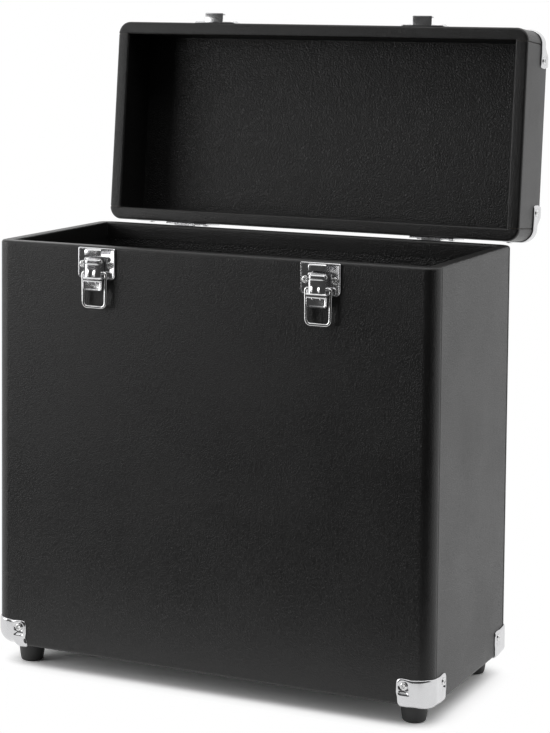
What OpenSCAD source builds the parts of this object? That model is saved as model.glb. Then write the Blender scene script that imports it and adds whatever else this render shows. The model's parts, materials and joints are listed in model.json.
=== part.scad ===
// Carrying case for long-playing records, standing on its feet with the lid thrown back.
// The frame: X runs along the width, +Y to the back, +Z up.
// The origin lies on the floor under the middle of the body.

/* [Case] */
// Width of the case over its covering
case_w = 350; // [340:1:420]
// Depth of the case over its covering
case_d = 161; // [140:1:260]
// Height of the body from its underside to its rim
body_h = 306; // [260:1:330]
// Height of the lid from its rim to its top
lid_h = 49.5; // [40:0.5:70]
// Radius of the upright edges
edge_r = 10; // [9:0.5:14]
// Thickness of the boards
board_t = 8; // [6:0.5:10]
// Thickness of the outer covering
cover_t = 1; // [0.6:0.1:1.5]
// Thickness of the lining
lining_t = 0.5; // [0.3:0.1:1]
// Gap between the two rims when the lid is shut
lid_gap = 1; // [0.5:0.1:2]
// Angle of the lid when it rests on its stops
lid_open = 95.5; // [92:0.5:100]

/* [Corner protectors] */
// Thickness of the pressed sheet
corner_t = 1.2; // [0.8:0.1:1.6]
// Radius of the ball at a protector's tip
corner_round = 11; // [10:0.5:13]
// Reach along the front and back
corner_w = 25; // [24:0.5:30]
// Reach along the sides
corner_d = 27.5; // [24:0.5:32]
// Height on the body
body_corner_h = 20.5; // [19:0.5:30]
// Height on the lid
lid_corner_h = 18; // [16:0.5:24]
// Width of the lip turned under the body
corner_lip = 8; // [6:0.5:8]
// Radius of the ears round the screws
corner_ear_r = 5.2; // [4.5:0.1:6]
// Drop of the ears below the highest point of a protector
corner_ear_drop = 1.8; // [1:0.1:2.4]

/* [Feet] */
// Height of a foot
foot_h = 15.5; // [8:0.5:25]
// Diameter of a foot where it meets the floor covering
foot_top_d = 20.6; // [16:0.2:22]
// Diameter of a foot at the ground
foot_tip_d = 17; // [14:0.2:20]
// Distance of a foot's axis from the outer walls
foot_inset = 19.5; // [19.5:0.5:40]

/* [Screws] */
// Diameter of the pan heads
head_d = 5; // [4.5:0.1:5.4]
// Height of the pan heads
head_h = 1.4; // [1:0.1:1.6]
// Diameter of the shanks
shank_d = 2.4; // [2:0.1:2.8]
// Length of a shank under its head
shank_l = 7.5; // [5:0.5:8]
// Length of a foot screw under its head
foot_screw_l = 12; // [11:0.5:12.5]

/* [Latches] */
// Distance of each latch from the side of the case
latch_in = 86; // [60:1:120]
// Width of a base plate
plate_w = 31.5; // [30:0.5:40]
// Height of a base plate
plate_h = 23; // [22:0.5:30]
// Thickness of base plates, catches and brackets
plate_t = 1.2; // [1:0.1:1.5]
// Distance of a base plate's top below the rim
plate_drop = 1; // [0.5:0.1:3]
// Distance of the lever's pin below the plate's top
lever_drop = 9.5; // [9:0.1:11]
// Distance of the lever's pin from the front of the case
lever_out = 4.6; // [4.4:0.1:5]
// Radius of the lever's head round its pin
lever_head_r = 3.1; // [3:0.05:3.1]
// Width of the lever's channel
lever_w = 13.6; // [12:0.2:14]
// Sheet thickness of the lever
lever_t = 0.9; // [0.7:0.05:1]
// Length of the lever's channel below its pin
lever_l = 12.6; // [12:0.2:14]
// Length of the finger tab below the channel
tab_l = 9; // [6:0.5:12]
// Diameter of the lever pins
lever_pin_d = 2.4; // [2:0.1:2.6]
// Distance from the lever's pin down to the bail's pivot
bail_drop = 8.5; // [7:0.1:9]
// Distance of the bail's pivot from the front of the case
bail_out = 4.2; // [4:0.1:4.6]
// Length of a bail from its pivot to its crossbar
bail_l = 25; // [24:0.5:30]
// Wire diameter of a bail
wire_d = 2.4; // [2:0.1:2.6]
// Distance between the middle lines of a bail's two sides
bail_w = 19; // [18.6:0.1:20]
// Angle that a lever can be lifted through
lever_lift = 100; // [60:1:100]

/* [Catches] */
// Width of a catch's flange
catch_w = 35; // [32:0.5:42]
// Height of a catch's flange
catch_h = 16; // [15:0.5:20]
// Width of a catch's hook
hook_w = 15.8; // [12:0.2:15.8]
// How far a hook stands out from the lid
hook_out = 8; // [7.5:0.1:9]
// Distance of the catch's lower edge above the lid's rim
catch_lift = 1; // [0.5:0.1:1.5]

/* [Hinges] */
// Distance of each hinge from the side of the case
hinge_in = 70; // [50:1:120]
// Width of a hinge
hinge_w = 36; // [30:1:50]
// Distance of the hinge pin behind the back of the case
hinge_out = 5.3; // [5.2:0.1:6]
// Distance of the hinge pin below the body's rim
hinge_drop = 3.9; // [3.6:0.1:5]
// Radius of the knuckles
knuckle_r = 3; // [2.8:0.1:3.2]
// Diameter of the hinge pins
hinge_pin_d = 3; // [2.6:0.1:3.2]
// Length of a leaf below or above the pin
leaf_l = 29; // [26:0.5:36]

/* [Handle] */
// Distance between the two handle pins
handle_w = 128; // [110:1:160]
// Reach of the handle from its pins to the middle of the grip
handle_l = 34; // [32:0.5:45]
// Diameter of the grip
grip_d = 13; // [11:0.5:13]
// Width of an arm of the handle
arm_w = 8; // [7:0.5:9]
// Height of the handle pins above the lid
handle_rise = 8.5; // [8.5:0.1:11]
// Diameter of the handle pins
handle_pin_d = 3.2; // [3:0.1:3.6]
// Length of a bracket's base along the lid
bracket_w = 30; // [28:0.5:36]
// Breadth of a bracket's base
bracket_d = 20; // [18:0.5:24]

/* [Hidden] */

$fn = 48;
// Running clearance of a pin in its hole, on the radius
fit = 0.05;
// Clearance round a screw shank in its pilot hole, on the radius
pilot_fit = 0.05;
// Space between parts that pass each other
pass_gap = 0.3;
// A cut reaches this far beyond the face that it opens
over = 1;

wall_t = cover_t + board_t + lining_t;
front_y = -case_d / 2;
back_y = case_d / 2;
rim_z = foot_h + body_h;
lid_z = rim_z + lid_gap;
lid_top_z = lid_z + lid_h;
plate_top_z = rim_z - plate_drop;
latch_x = case_w / 2 - latch_in;
hinge_x = case_w / 2 - hinge_in;
hinge_y = back_y + hinge_out;
hinge_z = rim_z - hinge_drop;

// Plan and box shapes

// Rounded outline of the case, drawn in by inset
module plan(inset = 0) {
  w = case_w - 2 * inset;
  d = case_d - 2 * inset;
  r = edge_r - inset;
  square([w - 2 * r, d], center = true);
  square([w, d - 2 * r], center = true);
  for (x = [-1, 1], y = [-1, 1]) {
    translate([x * (w / 2 - r), y * (d / 2 - r)]) circle(r);
  }
}

// Square-cornered outline inside the walls, with a wall of thickness t
module bay(t) {
  square([case_w - 2 * t, case_d - 2 * t], center = true);
}

// Part of a layer's outline that belongs to one wall: the front, back, left or right one.
// The seam is the distance from the front and back faces at which the side pieces begin.
module wall_share(wall, seam) {
  side = case_w / 2 + over;
  run = case_d - 2 * seam;
  if (wall == "front") translate([-side, front_y - over]) square([2 * side, seam + over]);
  if (wall == "back") translate([-side, back_y - seam]) square([2 * side, seam + over]);
  if (wall == "left") translate([-side, -run / 2]) square([side, run]);
  if (wall == "right") translate([0, -run / 2]) square([side, run]);
}

// Upright board of one wall, from z0 to z1
module wall_board(wall, z0, z1) {
  translate([0, 0, z0]) linear_extrude(z1 - z0) intersection() {
    difference() {
      plan(cover_t);
      bay(cover_t + board_t);
    }
    wall_share(wall, cover_t + board_t);
  }
}

// Covering of one wall, from z0 to z1, with the strip that turns over the rim at rim0
module wall_covering(wall, z0, z1, rim0) {
  translate([0, 0, z0]) linear_extrude(z1 - z0) intersection() {
    difference() {
      plan();
      plan(cover_t);
    }
    wall_share(wall, edge_r);
  }
  translate([0, 0, rim0]) linear_extrude(cover_t) intersection() {
    difference() {
      plan();
      bay(wall_t);
    }
    wall_share(wall, edge_r);
  }
}

// Corner work

// Places something drawn for the front left bottom corner, with the case in its positive octant
module at_body_corner(x, y) {
  mirror([x > 0 ? 1 : 0, 0, 0]) mirror([0, y > 0 ? 1 : 0, 0]) {
    translate([-case_w / 2, front_y, foot_h]) children();
  }
}

// The same for the lid's top corners, with the lid shut
module at_lid_corner(x, y) {
  mirror([x > 0 ? 1 : 0, 0, 0]) mirror([0, y > 0 ? 1 : 0, 0]) {
    translate([-case_w / 2, front_y, lid_top_z]) mirror([0, 0, 1]) children();
  }
}

// Depth of the flats that take the edges back under a protector, tangent to a ball of the edge radius
edge_flat = corner_round * (2 - sqrt(2));
// Distance from the corner to the flat that takes its tip off
tip_flat = corner_round * (sqrt(3) - 1);
// How far a lobe draws in at the edge that it is turned over, which is also where the flats end
lobe_draw = 3;
// How much wider than a protector's outside the ball is that takes its tip off
tip_ease = 0.4;

// What is taken off the boards and coverings under a protector
module corner_relief() {
  side = sqrt(2) * edge_flat;
  translate([-over, 0, 0]) rotate([45, 0, 0]) translate([0, -side / 2, -side / 2])
    cube([corner_w - lobe_draw + over, side, side]);
  translate([0, -over, 0]) rotate([0, 45, 0]) translate([-side / 2, 0, -side / 2])
    cube([side, corner_d - lobe_draw + over, side]);
  rotate([0, atan(sqrt(2)), 45]) translate([0, 0, tip_flat - edge_r])
    cube([3 * edge_r, 3 * edge_r, 2 * edge_r], center = true);
}

module body_relief() {
  for (x = [-1, 1], y = [-1, 1]) at_body_corner(x, y) corner_relief();
}

module lid_relief() {
  for (x = [-1, 1], y = [-1, 1]) at_lid_corner(x, y) corner_relief();
}

// Quarter of a plane with its corner at the origin rounded to r
module quarter(r) {
  reach = 2 * corner_d;
  translate([r, r]) circle(r);
  translate([r, 0]) square(reach);
  translate([0, r]) square(reach);
}

// Quarter outline grown by the sheet and swept past the whole corner
module swept_quarter(r) {
  translate([-corner_t, -corner_t, -2 * corner_t]) linear_extrude(2 * corner_d) quarter(r + corner_t);
}

// Outside of a protector: rounded along its three edges, with its tip taken off by a ball
module corner_form() {
  difference() {
    intersection() {
      swept_quarter(edge_r);
      mirror([0, 1, 0]) rotate([90, 0, 0]) swept_quarter(corner_round);
      rotate([90, 0, 90]) swept_quarter(corner_round);
    }
    difference() {
      translate([-corner_round, -corner_round, -corner_round]) cube(2 * corner_round);
      translate([corner_round, corner_round, corner_round]) sphere(corner_round + corner_t + tip_ease);
    }
  }
}

// Height of an ear's middle on a lobe of the given height
function ear_level(height) = height - corner_ear_drop - corner_ear_r;

// Outline of a lobe with its ear, across the reach and up the height
module lobe(reach, height) {
  ear = corner_ear_r;
  waist = height - corner_ear_drop - 0.6;
  side = reach - 0.8;
  shoulder = 0.7 * edge_r;
  polygon([
    [-edge_r, -edge_r], [reach - lobe_draw, -edge_r], [reach - lobe_draw, 0], [side, ear],
    [side, ear_level(height)], [reach - 2 * ear, waist], [shoulder, waist], [0, height], [-edge_r, height]
  ]);
  translate([reach - ear, ear_level(height)]) circle(ear);
}

// One protector in the corner frame: the pressed shell, its lobes cut to shape and its screw holes
module corner_shell(h, top_lobe) {
  difference() {
    intersection() {
      corner_form();
      union() {
        rotate([90, 0, 0]) translate([0, 0, -corner_lip]) linear_extrude(corner_lip + 2 * corner_t)
          lobe(corner_w, h);
        rotate([90, 0, 90]) translate([0, 0, -2 * corner_t]) linear_extrude(corner_lip + 2 * corner_t)
          lobe(corner_d, h);
        if (top_lobe) translate([0, 0, -2 * corner_t]) linear_extrude(corner_lip + 2 * corner_t)
          lobe(corner_w, corner_d);
      }
    }
    corner_box();
    for (s = corner_screws(h, top_lobe)) place_screw(s) screw_hole(corner_t);
  }
}

// Quarter of the case as it lies in the corner frame, with its upright edge and its flats
module corner_box() {
  difference() {
    linear_extrude(2 * corner_d) quarter(edge_r);
    corner_relief();
  }
}

// Screws: each is [x, y, z, turn], seated at the place with its head along the turned +Z
function corner_screws(h, top_lobe) = concat(
  [[corner_w - corner_ear_r, -corner_t, ear_level(h), [90, 0, 0]]],
  [[-corner_t, corner_d - corner_ear_r, ear_level(h), [0, -90, 0]]],
  top_lobe ? [[corner_w - corner_ear_r, ear_level(corner_d), -corner_t, [180, 0, 0]]] : []
);

module place_screw(s) {
  translate([s[0], s[1], s[2]]) rotate(s[3]) children();
}

// Pan-head screw with a cross recess, its head resting on the plane z = 0
module screw(l) {
  slot_w = 0.9;
  slot_l = 0.62 * head_d;
  slot_h = 0.6 * head_h;
  rim_h = 0.45 * head_h;
  crown_d = 0.66 * head_d;
  difference() {
    union() {
      cylinder(d = head_d, h = rim_h);
      translate([0, 0, rim_h]) cylinder(d1 = head_d, d2 = crown_d, h = head_h - rim_h);
      translate([0, 0, -l]) cylinder(d = shank_d, h = l + over / 2);
    }
    for (a = [0, 90]) rotate([0, 0, a]) translate([-slot_l / 2, -slot_w / 2, head_h - slot_h])
      cube([slot_l, slot_w, slot_h + over]);
  }
}

// Hole for a shank through a sheet of thickness t below the plane z = 0
module screw_hole(t) {
  translate([0, 0, -t - over]) cylinder(r = shank_d / 2 + pilot_fit, h = t + 2 * over);
}

// Pilot hole for a whole screw of length l
module pilot(l) {
  translate([0, 0, -l - pass_gap]) cylinder(r = shank_d / 2 + pilot_fit, h = l + pass_gap);
}

// Front hardware is drawn on an outline of (out, up), out from the front face and up from the
// latch plate's top, and is w wide across the case
module across_front(w) {
  rotate([90, 0, -90]) linear_extrude(w, center = true) children();
}

module on_front(x, z) {
  translate([x, front_y, z]) children();
}

module rod(d, w) {
  rotate([0, 90, 0]) cylinder(d = d, h = w, center = true);
}

// Space between a pin's heads and what it holds, at each end
cap_gap = 0.1;

// Pin across the case, w long between its heads, which stand out by step and are cap_h thick
module headed_pin(d, w, step, cap_h) {
  rod(d, w + 2 * cap_h);
  for (x = [-1, 1]) translate([x * (w + cap_h) / 2, 0, 0]) rod(d + 2 * step, cap_h);
}

// Latches

lever_z = -lever_drop;
bail_z = -lever_drop - bail_drop;
lever_back = lever_out - lever_head_r;
lever_front = lever_out + lever_head_r;
ear_gap = 0.1;
ear_x = lever_w / 2 - lever_t - ear_gap;
ear_t = 1;
ear_r = 2;
ear_h = 2.8;
plate_r = 3;
bridge_h = 4.7;
bridge_w = 13.2;
bridge_out = 7.2;
latch_screw_in = 4.5;
latch_screw_z = -12.2;
latch_screws = [for (x = [-1, 1]) [x * (plate_w / 2 - latch_screw_in), -plate_t, latch_screw_z, [90, 0, 0]]];

// Plate outline with its two lower corners rounded
module plate_outline(w, h, r) {
  difference() {
    translate([-w / 2, -h]) square([w, h]);
    for (x = [-1, 1]) translate([x * (w / 2 - r), -h + r]) difference() {
      translate([x > 0 ? 0 : -r - over, -r - over]) square(r + over);
      circle(r);
    }
  }
}

module latch_plate() {
  difference() {
    union() {
      rotate([90, 0, 0]) linear_extrude(plate_t) plate_outline(plate_w, plate_h, plate_r);
      translate([-bridge_w / 2, -bridge_out, -bridge_h - pass_gap]) cube([bridge_w, bridge_out, bridge_h]);
      for (x = [-1, 1]) translate([x * (ear_x - ear_t / 2), 0, 0]) across_front(ear_t) {
        translate([lever_out, lever_z]) circle(ear_r);
        translate([0, lever_z - ear_h / 2]) square([lever_out, ear_h]);
      }
    }
    across_front(bridge_w - 2 * plate_t) translate([0, -bridge_h - pass_gap - over])
      square([bridge_out - plate_t, bridge_h + over - plate_t]);
    translate([0, -lever_out, lever_z]) rod(lever_pin_d + 2 * fit, plate_w);
    for (s = latch_screws) place_screw(s) screw_hole(plate_t);
  }
}

// Lever: a channel with its open side to the case, a rolled stiffener and a finger tab
bail_gap = 0.35;
tab_w = bail_w - wire_d - 2 * bail_gap;
tab_r = 2.5;
tab_t = 1.2;
roll_d = 3.2;
roll_in = 0.4;
tab_out = lever_front - tab_t;
rib_x = 3;
rib_drop = 8.5;
rib_d = 1.8;
module latch_lever() {
  foot_z = lever_z - lever_l;
  head_open_z = lever_z + 1;
  difference() {
    union() {
      across_front(lever_w) {
        translate([lever_out, lever_z]) circle(lever_head_r);
        translate([lever_back, foot_z]) square([2 * lever_head_r, lever_l]);
      }
      translate([0, roll_in - tab_out, foot_z]) rod(roll_d, tab_w - 1);
      translate([0, tab_t - tab_out, foot_z]) rotate([90, 0, 0]) linear_extrude(tab_t)
        plate_outline(tab_w, tab_l, tab_r);
      for (x = [-1, 1]) translate([x * rib_x, -lever_front, lever_z - rib_drop]) sphere(d = rib_d);
    }
    across_front(lever_w - 2 * lever_t) {
      translate([-over, foot_z + roll_d])
        square([lever_front - lever_t + over, head_open_z - foot_z - roll_d + over]);
      translate([-over, head_open_z]) square([lever_front + 2 * over, lever_head_r + over]);
    }
    translate([0, -lever_out, lever_z]) rod(lever_pin_d + 2 * fit, plate_w);
    translate([0, -bail_out, bail_z]) rod(wire_d + 2 * fit, plate_w);
  }
}

// Radius that a bail's corners are bent to, along the wire's middle
bail_bend = 4;

// Bail: a wire loop whose two ends turn in through the lever's walls
module bail() {
  half = bail_w / 2;
  inner = lever_w / 2 - lever_t;
  bar_z = bail_z - bail_l;
  translate([0, -bail_out, 0]) {
    for (x = [0, 1]) mirror([x, 0, 0]) {
      translate([half, 0, bar_z + bail_bend]) cylinder(d = wire_d, h = bail_l - bail_bend);
      translate([half, 0, bail_z]) sphere(d = wire_d);
      translate([(half + inner) / 2, 0, bail_z]) rod(wire_d, half - inner);
      translate([half - bail_bend, 0, bar_z + bail_bend]) rotate([-90, 0, 0]) rotate_extrude(angle = 90)
        translate([bail_bend, 0]) circle(d = wire_d);
    }
    translate([0, 0, bar_z]) rod(wire_d, 2 * (half - bail_bend));
  }
}

module lever_pin() {
  translate([0, -lever_out, lever_z]) headed_pin(lever_pin_d, lever_w + 2 * cap_gap, 0.6, 0.5);
}

// Catches: a flange with a hook that opens upwards, for the bail's crossbar.
// The seat under the crossbar has its corners rounded to clear the bends of the bail.
bar_rest_z = bail_z + bail_l - wire_d / 2;
bar_gap = 0.15;
catch_z = lid_gap + plate_drop + catch_lift;
catch_screw_in = 4.2;
catch_screw_z = catch_z + catch_h - 5;
catch_screws = [for (x = [-1, 1]) [x * (catch_w / 2 - catch_screw_in), -plate_t, catch_screw_z, [90, 0, 0]]];

module catch() {
  hook_t = 1.3;
  lip_h = wire_d + 1;
  difference() {
    union() {
      translate([0, 0, catch_z]) mirror([0, 0, 1]) rotate([90, 0, 0]) linear_extrude(plate_t)
        plate_outline(catch_w, catch_h, plate_r);
      translate([0, 0, catch_z]) mirror([0, 0, 1]) rotate([90, 0, 0]) linear_extrude(hook_out)
        plate_outline(hook_w, bar_rest_z - bar_gap - catch_z, bail_bend - wire_d / 2 - bar_gap);
      across_front(hook_w) translate([hook_out - hook_t, catch_z])
        square([hook_t, bar_rest_z + lip_h - catch_z]);
    }
    for (s = catch_screws) place_screw(s) screw_hole(plate_t);
  }
}

// Hinges, drawn round the pin's axis with the lid shut

knuckle_gap = 0.25;
leaf_rim_gap = 0.6;
mid_knuckle = hinge_w * 0.44;
side_knuckle = (hinge_w - mid_knuckle) / 2 - knuckle_gap;
leaf_t = 1.3;
web_t = 1.8;
stop_gap = 0.25;
stop_reach = hinge_out - leaf_t - stop_gap;
// Distance of the leaf screws from the leaf's ends, and of the upper two from the pin
leaf_screw_in = 5;
leaf_screw_near = 12;
leaf_screw_x = hinge_w / 2 - leaf_screw_in;
body_leaf_screws = [
  for (p = [[-leaf_screw_x, leaf_screw_near], [leaf_screw_x, leaf_screw_near], [0, leaf_l - leaf_screw_in]])
    [p[0], leaf_t - hinge_out, -p[1], [-90, 0, 0]]
];
lid_leaf_screws = [for (s = body_leaf_screws) [s[0], s[1], -s[2] + hinge_drop, s[3]]];

module at_hinge(x) {
  translate([x, hinge_y, hinge_z]) children();
}

// Outline of (back, up) about the pin's axis, w wide across the case
module across_back(w) {
  rotate([90, 0, 90]) linear_extrude(w, center = true) children();
}

module body_hinge_leaf() {
  knuckle_x = (hinge_w - side_knuckle) / 2;
  leaf_head = hinge_drop - leaf_rim_gap;
  difference() {
    union() {
      translate([-hinge_w / 2, -hinge_out, -leaf_l]) cube([hinge_w, leaf_t, leaf_l + leaf_head]);
      for (x = [-1, 1]) translate([x * knuckle_x, 0, 0]) across_back(side_knuckle) {
        circle(knuckle_r);
        translate([-hinge_out, -knuckle_r - web_t]) square([hinge_out, web_t + 1]);
      }
    }
    rod(hinge_pin_d + 2 * fit, hinge_w + 2 * over);
    for (s = body_leaf_screws) place_screw(s) screw_hole(leaf_t);
  }
}

// The lid's leaf, with the small lug that meets the body's leaf when the lid is thrown back
module lid_hinge_leaf() {
  lug_w = 2.4;
  leaf_foot = hinge_drop + lid_gap + leaf_rim_gap;
  difference() {
    union() {
      translate([-hinge_w / 2, -hinge_out, leaf_foot])
        cube([hinge_w, leaf_t, leaf_l + hinge_drop - leaf_foot]);
      across_back(mid_knuckle) {
        circle(knuckle_r);
        translate([-hinge_out, leaf_foot]) square([hinge_out - knuckle_r + web_t, web_t]);
        translate([-knuckle_r, 0]) square([web_t, leaf_foot + web_t]);
        rotate(lid_open) translate([-stop_reach, -lug_w / 2]) square([stop_reach, lug_w]);
      }
    }
    rod(hinge_pin_d + 2 * fit, hinge_w + 2 * over);
    for (s = lid_leaf_screws) place_screw(s) screw_hole(leaf_t);
  }
}

module hinge_pin() {
  headed_pin(hinge_pin_d, hinge_w + 2 * cap_gap, 0.8, 0.8);
}

// Handle, drawn with the lid shut and the handle lying towards the hinges

handle_z = lid_top_z + handle_rise;
fork_w = arm_w + 2 * pass_gap;
bracket_ear_t = 1.4;
bracket_ear_r = 4;
bracket_screw_in = 4;
bracket_screws = [for (x = [-1, 1]) [x * (bracket_w / 2 - bracket_screw_in), 0, plate_t, [0, 0, 0]]];

module at_bracket(x) {
  translate([x * handle_w / 2, 0, lid_top_z]) children();
}

module handle_bracket() {
  difference() {
    union() {
      translate([-bracket_w / 2, -bracket_d / 2, 0]) cube([bracket_w, bracket_d, plate_t]);
      for (x = [-1, 1]) translate([x * (fork_w + bracket_ear_t) / 2, 0, 0]) across_back(bracket_ear_t) {
        translate([0, handle_rise]) circle(bracket_ear_r);
        translate([-bracket_ear_r, 0]) square([2 * bracket_ear_r, handle_rise]);
      }
    }
    translate([0, 0, handle_rise]) rod(handle_pin_d + 2 * fit, bracket_w);
    for (s = bracket_screws) place_screw(s) screw_hole(plate_t);
  }
}

module handle_pin() {
  translate([0, 0, handle_rise]) headed_pin(handle_pin_d, fork_w + 2 * bracket_ear_t + 2 * cap_gap, 0.8, 0.8);
}

// The handle hangs straight down when the lid is open, a little away from the lid
module hung_handle() {
  translate([0, 0, handle_z]) rotate([lid_open - 90, 0, 0]) {
    difference() {
      union() {
        translate([0, handle_l, 0]) rod(grip_d, handle_w - arm_w);
        for (x = [-1, 1]) translate([x * handle_w / 2, 0, 0]) {
          across_back(arm_w) {
            circle(bracket_ear_r);
            translate([0, -bracket_ear_r]) square([handle_l, 2 * bracket_ear_r]);
            translate([handle_l, 0]) circle(grip_d / 2);
          }
        }
      }
      rod(handle_pin_d + 2 * fit, handle_w + 2 * bracket_w);
    }
  }
}

// Places of screws on the whole case

module each_body_screw() {
  for (x = [-1, 1], y = [-1, 1]) at_body_corner(x, y) {
    for (s = corner_screws(body_corner_h, false)) place_screw(s) children();
  }
  for (x = [-latch_x, latch_x]) on_front(x, plate_top_z) for (s = latch_screws) place_screw(s) children();
  for (x = [-hinge_x, hinge_x]) at_hinge(x) for (s = body_leaf_screws) place_screw(s) children();
}

module each_lid_screw() {
  for (x = [-1, 1], y = [-1, 1]) at_lid_corner(x, y) {
    for (s = corner_screws(lid_corner_h, true)) place_screw(s) children();
  }
  for (x = [-latch_x, latch_x]) on_front(x, plate_top_z) for (s = catch_screws) place_screw(s) children();
  for (x = [-hinge_x, hinge_x]) at_hinge(x) for (s = lid_leaf_screws) place_screw(s) children();
  for (x = [-1, 1]) at_bracket(x) for (s = bracket_screws) place_screw(s) children();
}

foot_x = case_w / 2 - foot_inset;
foot_y = case_d / 2 - foot_inset;
// How far a foot screw reaches into the floor, and the least height of its head above the ground
foot_grip = 3;
foot_seat_least = 2;
foot_seat = max(foot_seat_least, foot_h + foot_grip - foot_screw_l);
module each_foot_screw() {
  for (x = [-1, 1], y = [-1, 1]) translate([x * foot_x, y * foot_y, foot_seat]) {
    rotate([180, 0, 0]) children();
  }
}

module body_pilots() {
  each_body_screw() pilot(shank_l);
  each_foot_screw() pilot(foot_screw_l);
}

// Turns the lid from shut to thrown back
module thrown_back() {
  translate([0, hinge_y, hinge_z]) rotate([-lid_open, 0, 0]) translate([0, -hinge_y, -hinge_z]) children();
}

// Body

module body_board(wall) {
  color("tan") difference() {
    wall_board(wall, foot_h + cover_t, rim_z - cover_t);
    body_relief();
    body_pilots();
  }
}

module body_front_board() { body_board("front"); }
module body_back_board() { body_board("back"); }
module body_left_board() { body_board("left"); }
module body_right_board() { body_board("right"); }

module body_floor_board() {
  color("tan") difference() {
    translate([0, 0, foot_h + cover_t]) linear_extrude(board_t) bay(cover_t + board_t);
    body_relief();
    body_pilots();
  }
}

module body_covering(wall) {
  color([0.16, 0.16, 0.16]) difference() {
    wall_covering(wall, foot_h, rim_z, rim_z - cover_t);
    body_relief();
    body_pilots();
  }
}

module body_front_covering() { body_covering("front"); }
module body_back_covering() { body_covering("back"); }
module body_left_covering() { body_covering("left"); }
module body_right_covering() { body_covering("right"); }

module body_floor_covering() {
  color([0.16, 0.16, 0.16]) difference() {
    translate([0, 0, foot_h]) linear_extrude(cover_t) plan(cover_t);
    body_relief();
    body_pilots();
  }
}

module body_lining() {
  floor_z = foot_h + cover_t + board_t;
  color([0.07, 0.07, 0.07]) difference() {
    translate([0, 0, floor_z]) linear_extrude(rim_z - cover_t - floor_z) bay(cover_t + board_t);
    translate([0, 0, floor_z + lining_t]) linear_extrude(body_h) bay(wall_t);
  }
}

module body_corner(x, y) {
  color([0.85, 0.86, 0.88]) at_body_corner(x, y) corner_shell(body_corner_h, false);
}

module body_corner_front_left() { body_corner(-1, -1); }
module body_corner_front_right() { body_corner(1, -1); }
module body_corner_back_left() { body_corner(-1, 1); }
module body_corner_back_right() { body_corner(1, 1); }

module body_screws() {
  color([0.8, 0.8, 0.82]) each_body_screw() screw(shank_l);
}

// Feet

module foot(x, y) {
  tip_round = 1.5;
  seat_r = head_d / 2 + 1;
  color([0.09, 0.09, 0.09]) translate([x * foot_x, y * foot_y, 0]) difference() {
    union() {
      cylinder(d1 = foot_tip_d - tip_round, d2 = foot_tip_d, h = tip_round);
      translate([0, 0, tip_round]) cylinder(d1 = foot_tip_d, d2 = foot_top_d, h = foot_h - tip_round);
    }
    translate([0, 0, -over]) cylinder(r = seat_r, h = foot_seat + over);
    cylinder(r = shank_d / 2 + pilot_fit, h = foot_h + over);
  }
}

module foot_front_left() { foot(-1, -1); }
module foot_front_right() { foot(1, -1); }
module foot_back_left() { foot(-1, 1); }
module foot_back_right() { foot(1, 1); }

module foot_screws() {
  color([0.8, 0.8, 0.82]) each_foot_screw() screw(foot_screw_l);
}

// Latches on the body

module left_latch_plate() { color([0.8, 0.8, 0.82]) on_front(-latch_x, plate_top_z) latch_plate(); }
module right_latch_plate() { color([0.8, 0.8, 0.82]) on_front(latch_x, plate_top_z) latch_plate(); }
module left_latch_lever() { color([0.7, 0.7, 0.74]) on_front(-latch_x, plate_top_z) latch_lever(); }
module right_latch_lever() { color([0.7, 0.7, 0.74]) on_front(latch_x, plate_top_z) latch_lever(); }
module left_bail() { color([0.9, 0.9, 0.92]) on_front(-latch_x, plate_top_z) bail(); }
module right_bail() { color([0.9, 0.9, 0.92]) on_front(latch_x, plate_top_z) bail(); }
module lever_pins() {
  color([0.6, 0.6, 0.62]) for (x = [-latch_x, latch_x]) on_front(x, plate_top_z) lever_pin();
}

// Hinges

module left_body_hinge_leaf() { color([0.78, 0.78, 0.8]) at_hinge(-hinge_x) body_hinge_leaf(); }
module right_body_hinge_leaf() { color([0.78, 0.78, 0.8]) at_hinge(hinge_x) body_hinge_leaf(); }
module hinge_pins() {
  color([0.6, 0.6, 0.62]) for (x = [-hinge_x, hinge_x]) at_hinge(x) hinge_pin();
}
module left_lid_hinge_leaf() { color([0.8, 0.8, 0.82]) thrown_back() at_hinge(-hinge_x) lid_hinge_leaf(); }
module right_lid_hinge_leaf() { color([0.8, 0.8, 0.82]) thrown_back() at_hinge(hinge_x) lid_hinge_leaf(); }

// Lid

module lid_rail(wall) {
  color("tan") thrown_back() difference() {
    wall_board(wall, lid_z + cover_t, lid_top_z - cover_t);
    lid_relief();
    each_lid_screw() pilot(shank_l);
  }
}

module lid_front_rail() { lid_rail("front"); }
module lid_back_rail() { lid_rail("back"); }
module lid_left_rail() { lid_rail("left"); }
module lid_right_rail() { lid_rail("right"); }

module lid_top_board() {
  color("tan") thrown_back() difference() {
    translate([0, 0, lid_top_z - cover_t - board_t]) linear_extrude(board_t) bay(cover_t + board_t);
    lid_relief();
    each_lid_screw() pilot(shank_l);
  }
}

module lid_covering(wall) {
  color([0.18, 0.18, 0.18]) thrown_back() difference() {
    wall_covering(wall, lid_z, lid_top_z, lid_z);
    lid_relief();
    each_lid_screw() pilot(shank_l);
  }
}

module lid_front_covering() { lid_covering("front"); }
module lid_back_covering() { lid_covering("back"); }
module lid_left_covering() { lid_covering("left"); }
module lid_right_covering() { lid_covering("right"); }

module lid_top_covering() {
  color([0.18, 0.18, 0.18]) thrown_back() difference() {
    translate([0, 0, lid_top_z - cover_t]) linear_extrude(cover_t) plan(cover_t);
    lid_relief();
    each_lid_screw() pilot(shank_l);
  }
}

module lid_lining() {
  roof_z = lid_top_z - cover_t - board_t;
  color([0.07, 0.07, 0.07]) thrown_back() difference() {
    translate([0, 0, lid_z + cover_t]) linear_extrude(roof_z - lid_z - cover_t) bay(cover_t + board_t);
    translate([0, 0, lid_z]) linear_extrude(roof_z - lining_t - lid_z) bay(wall_t);
  }
}

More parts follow.
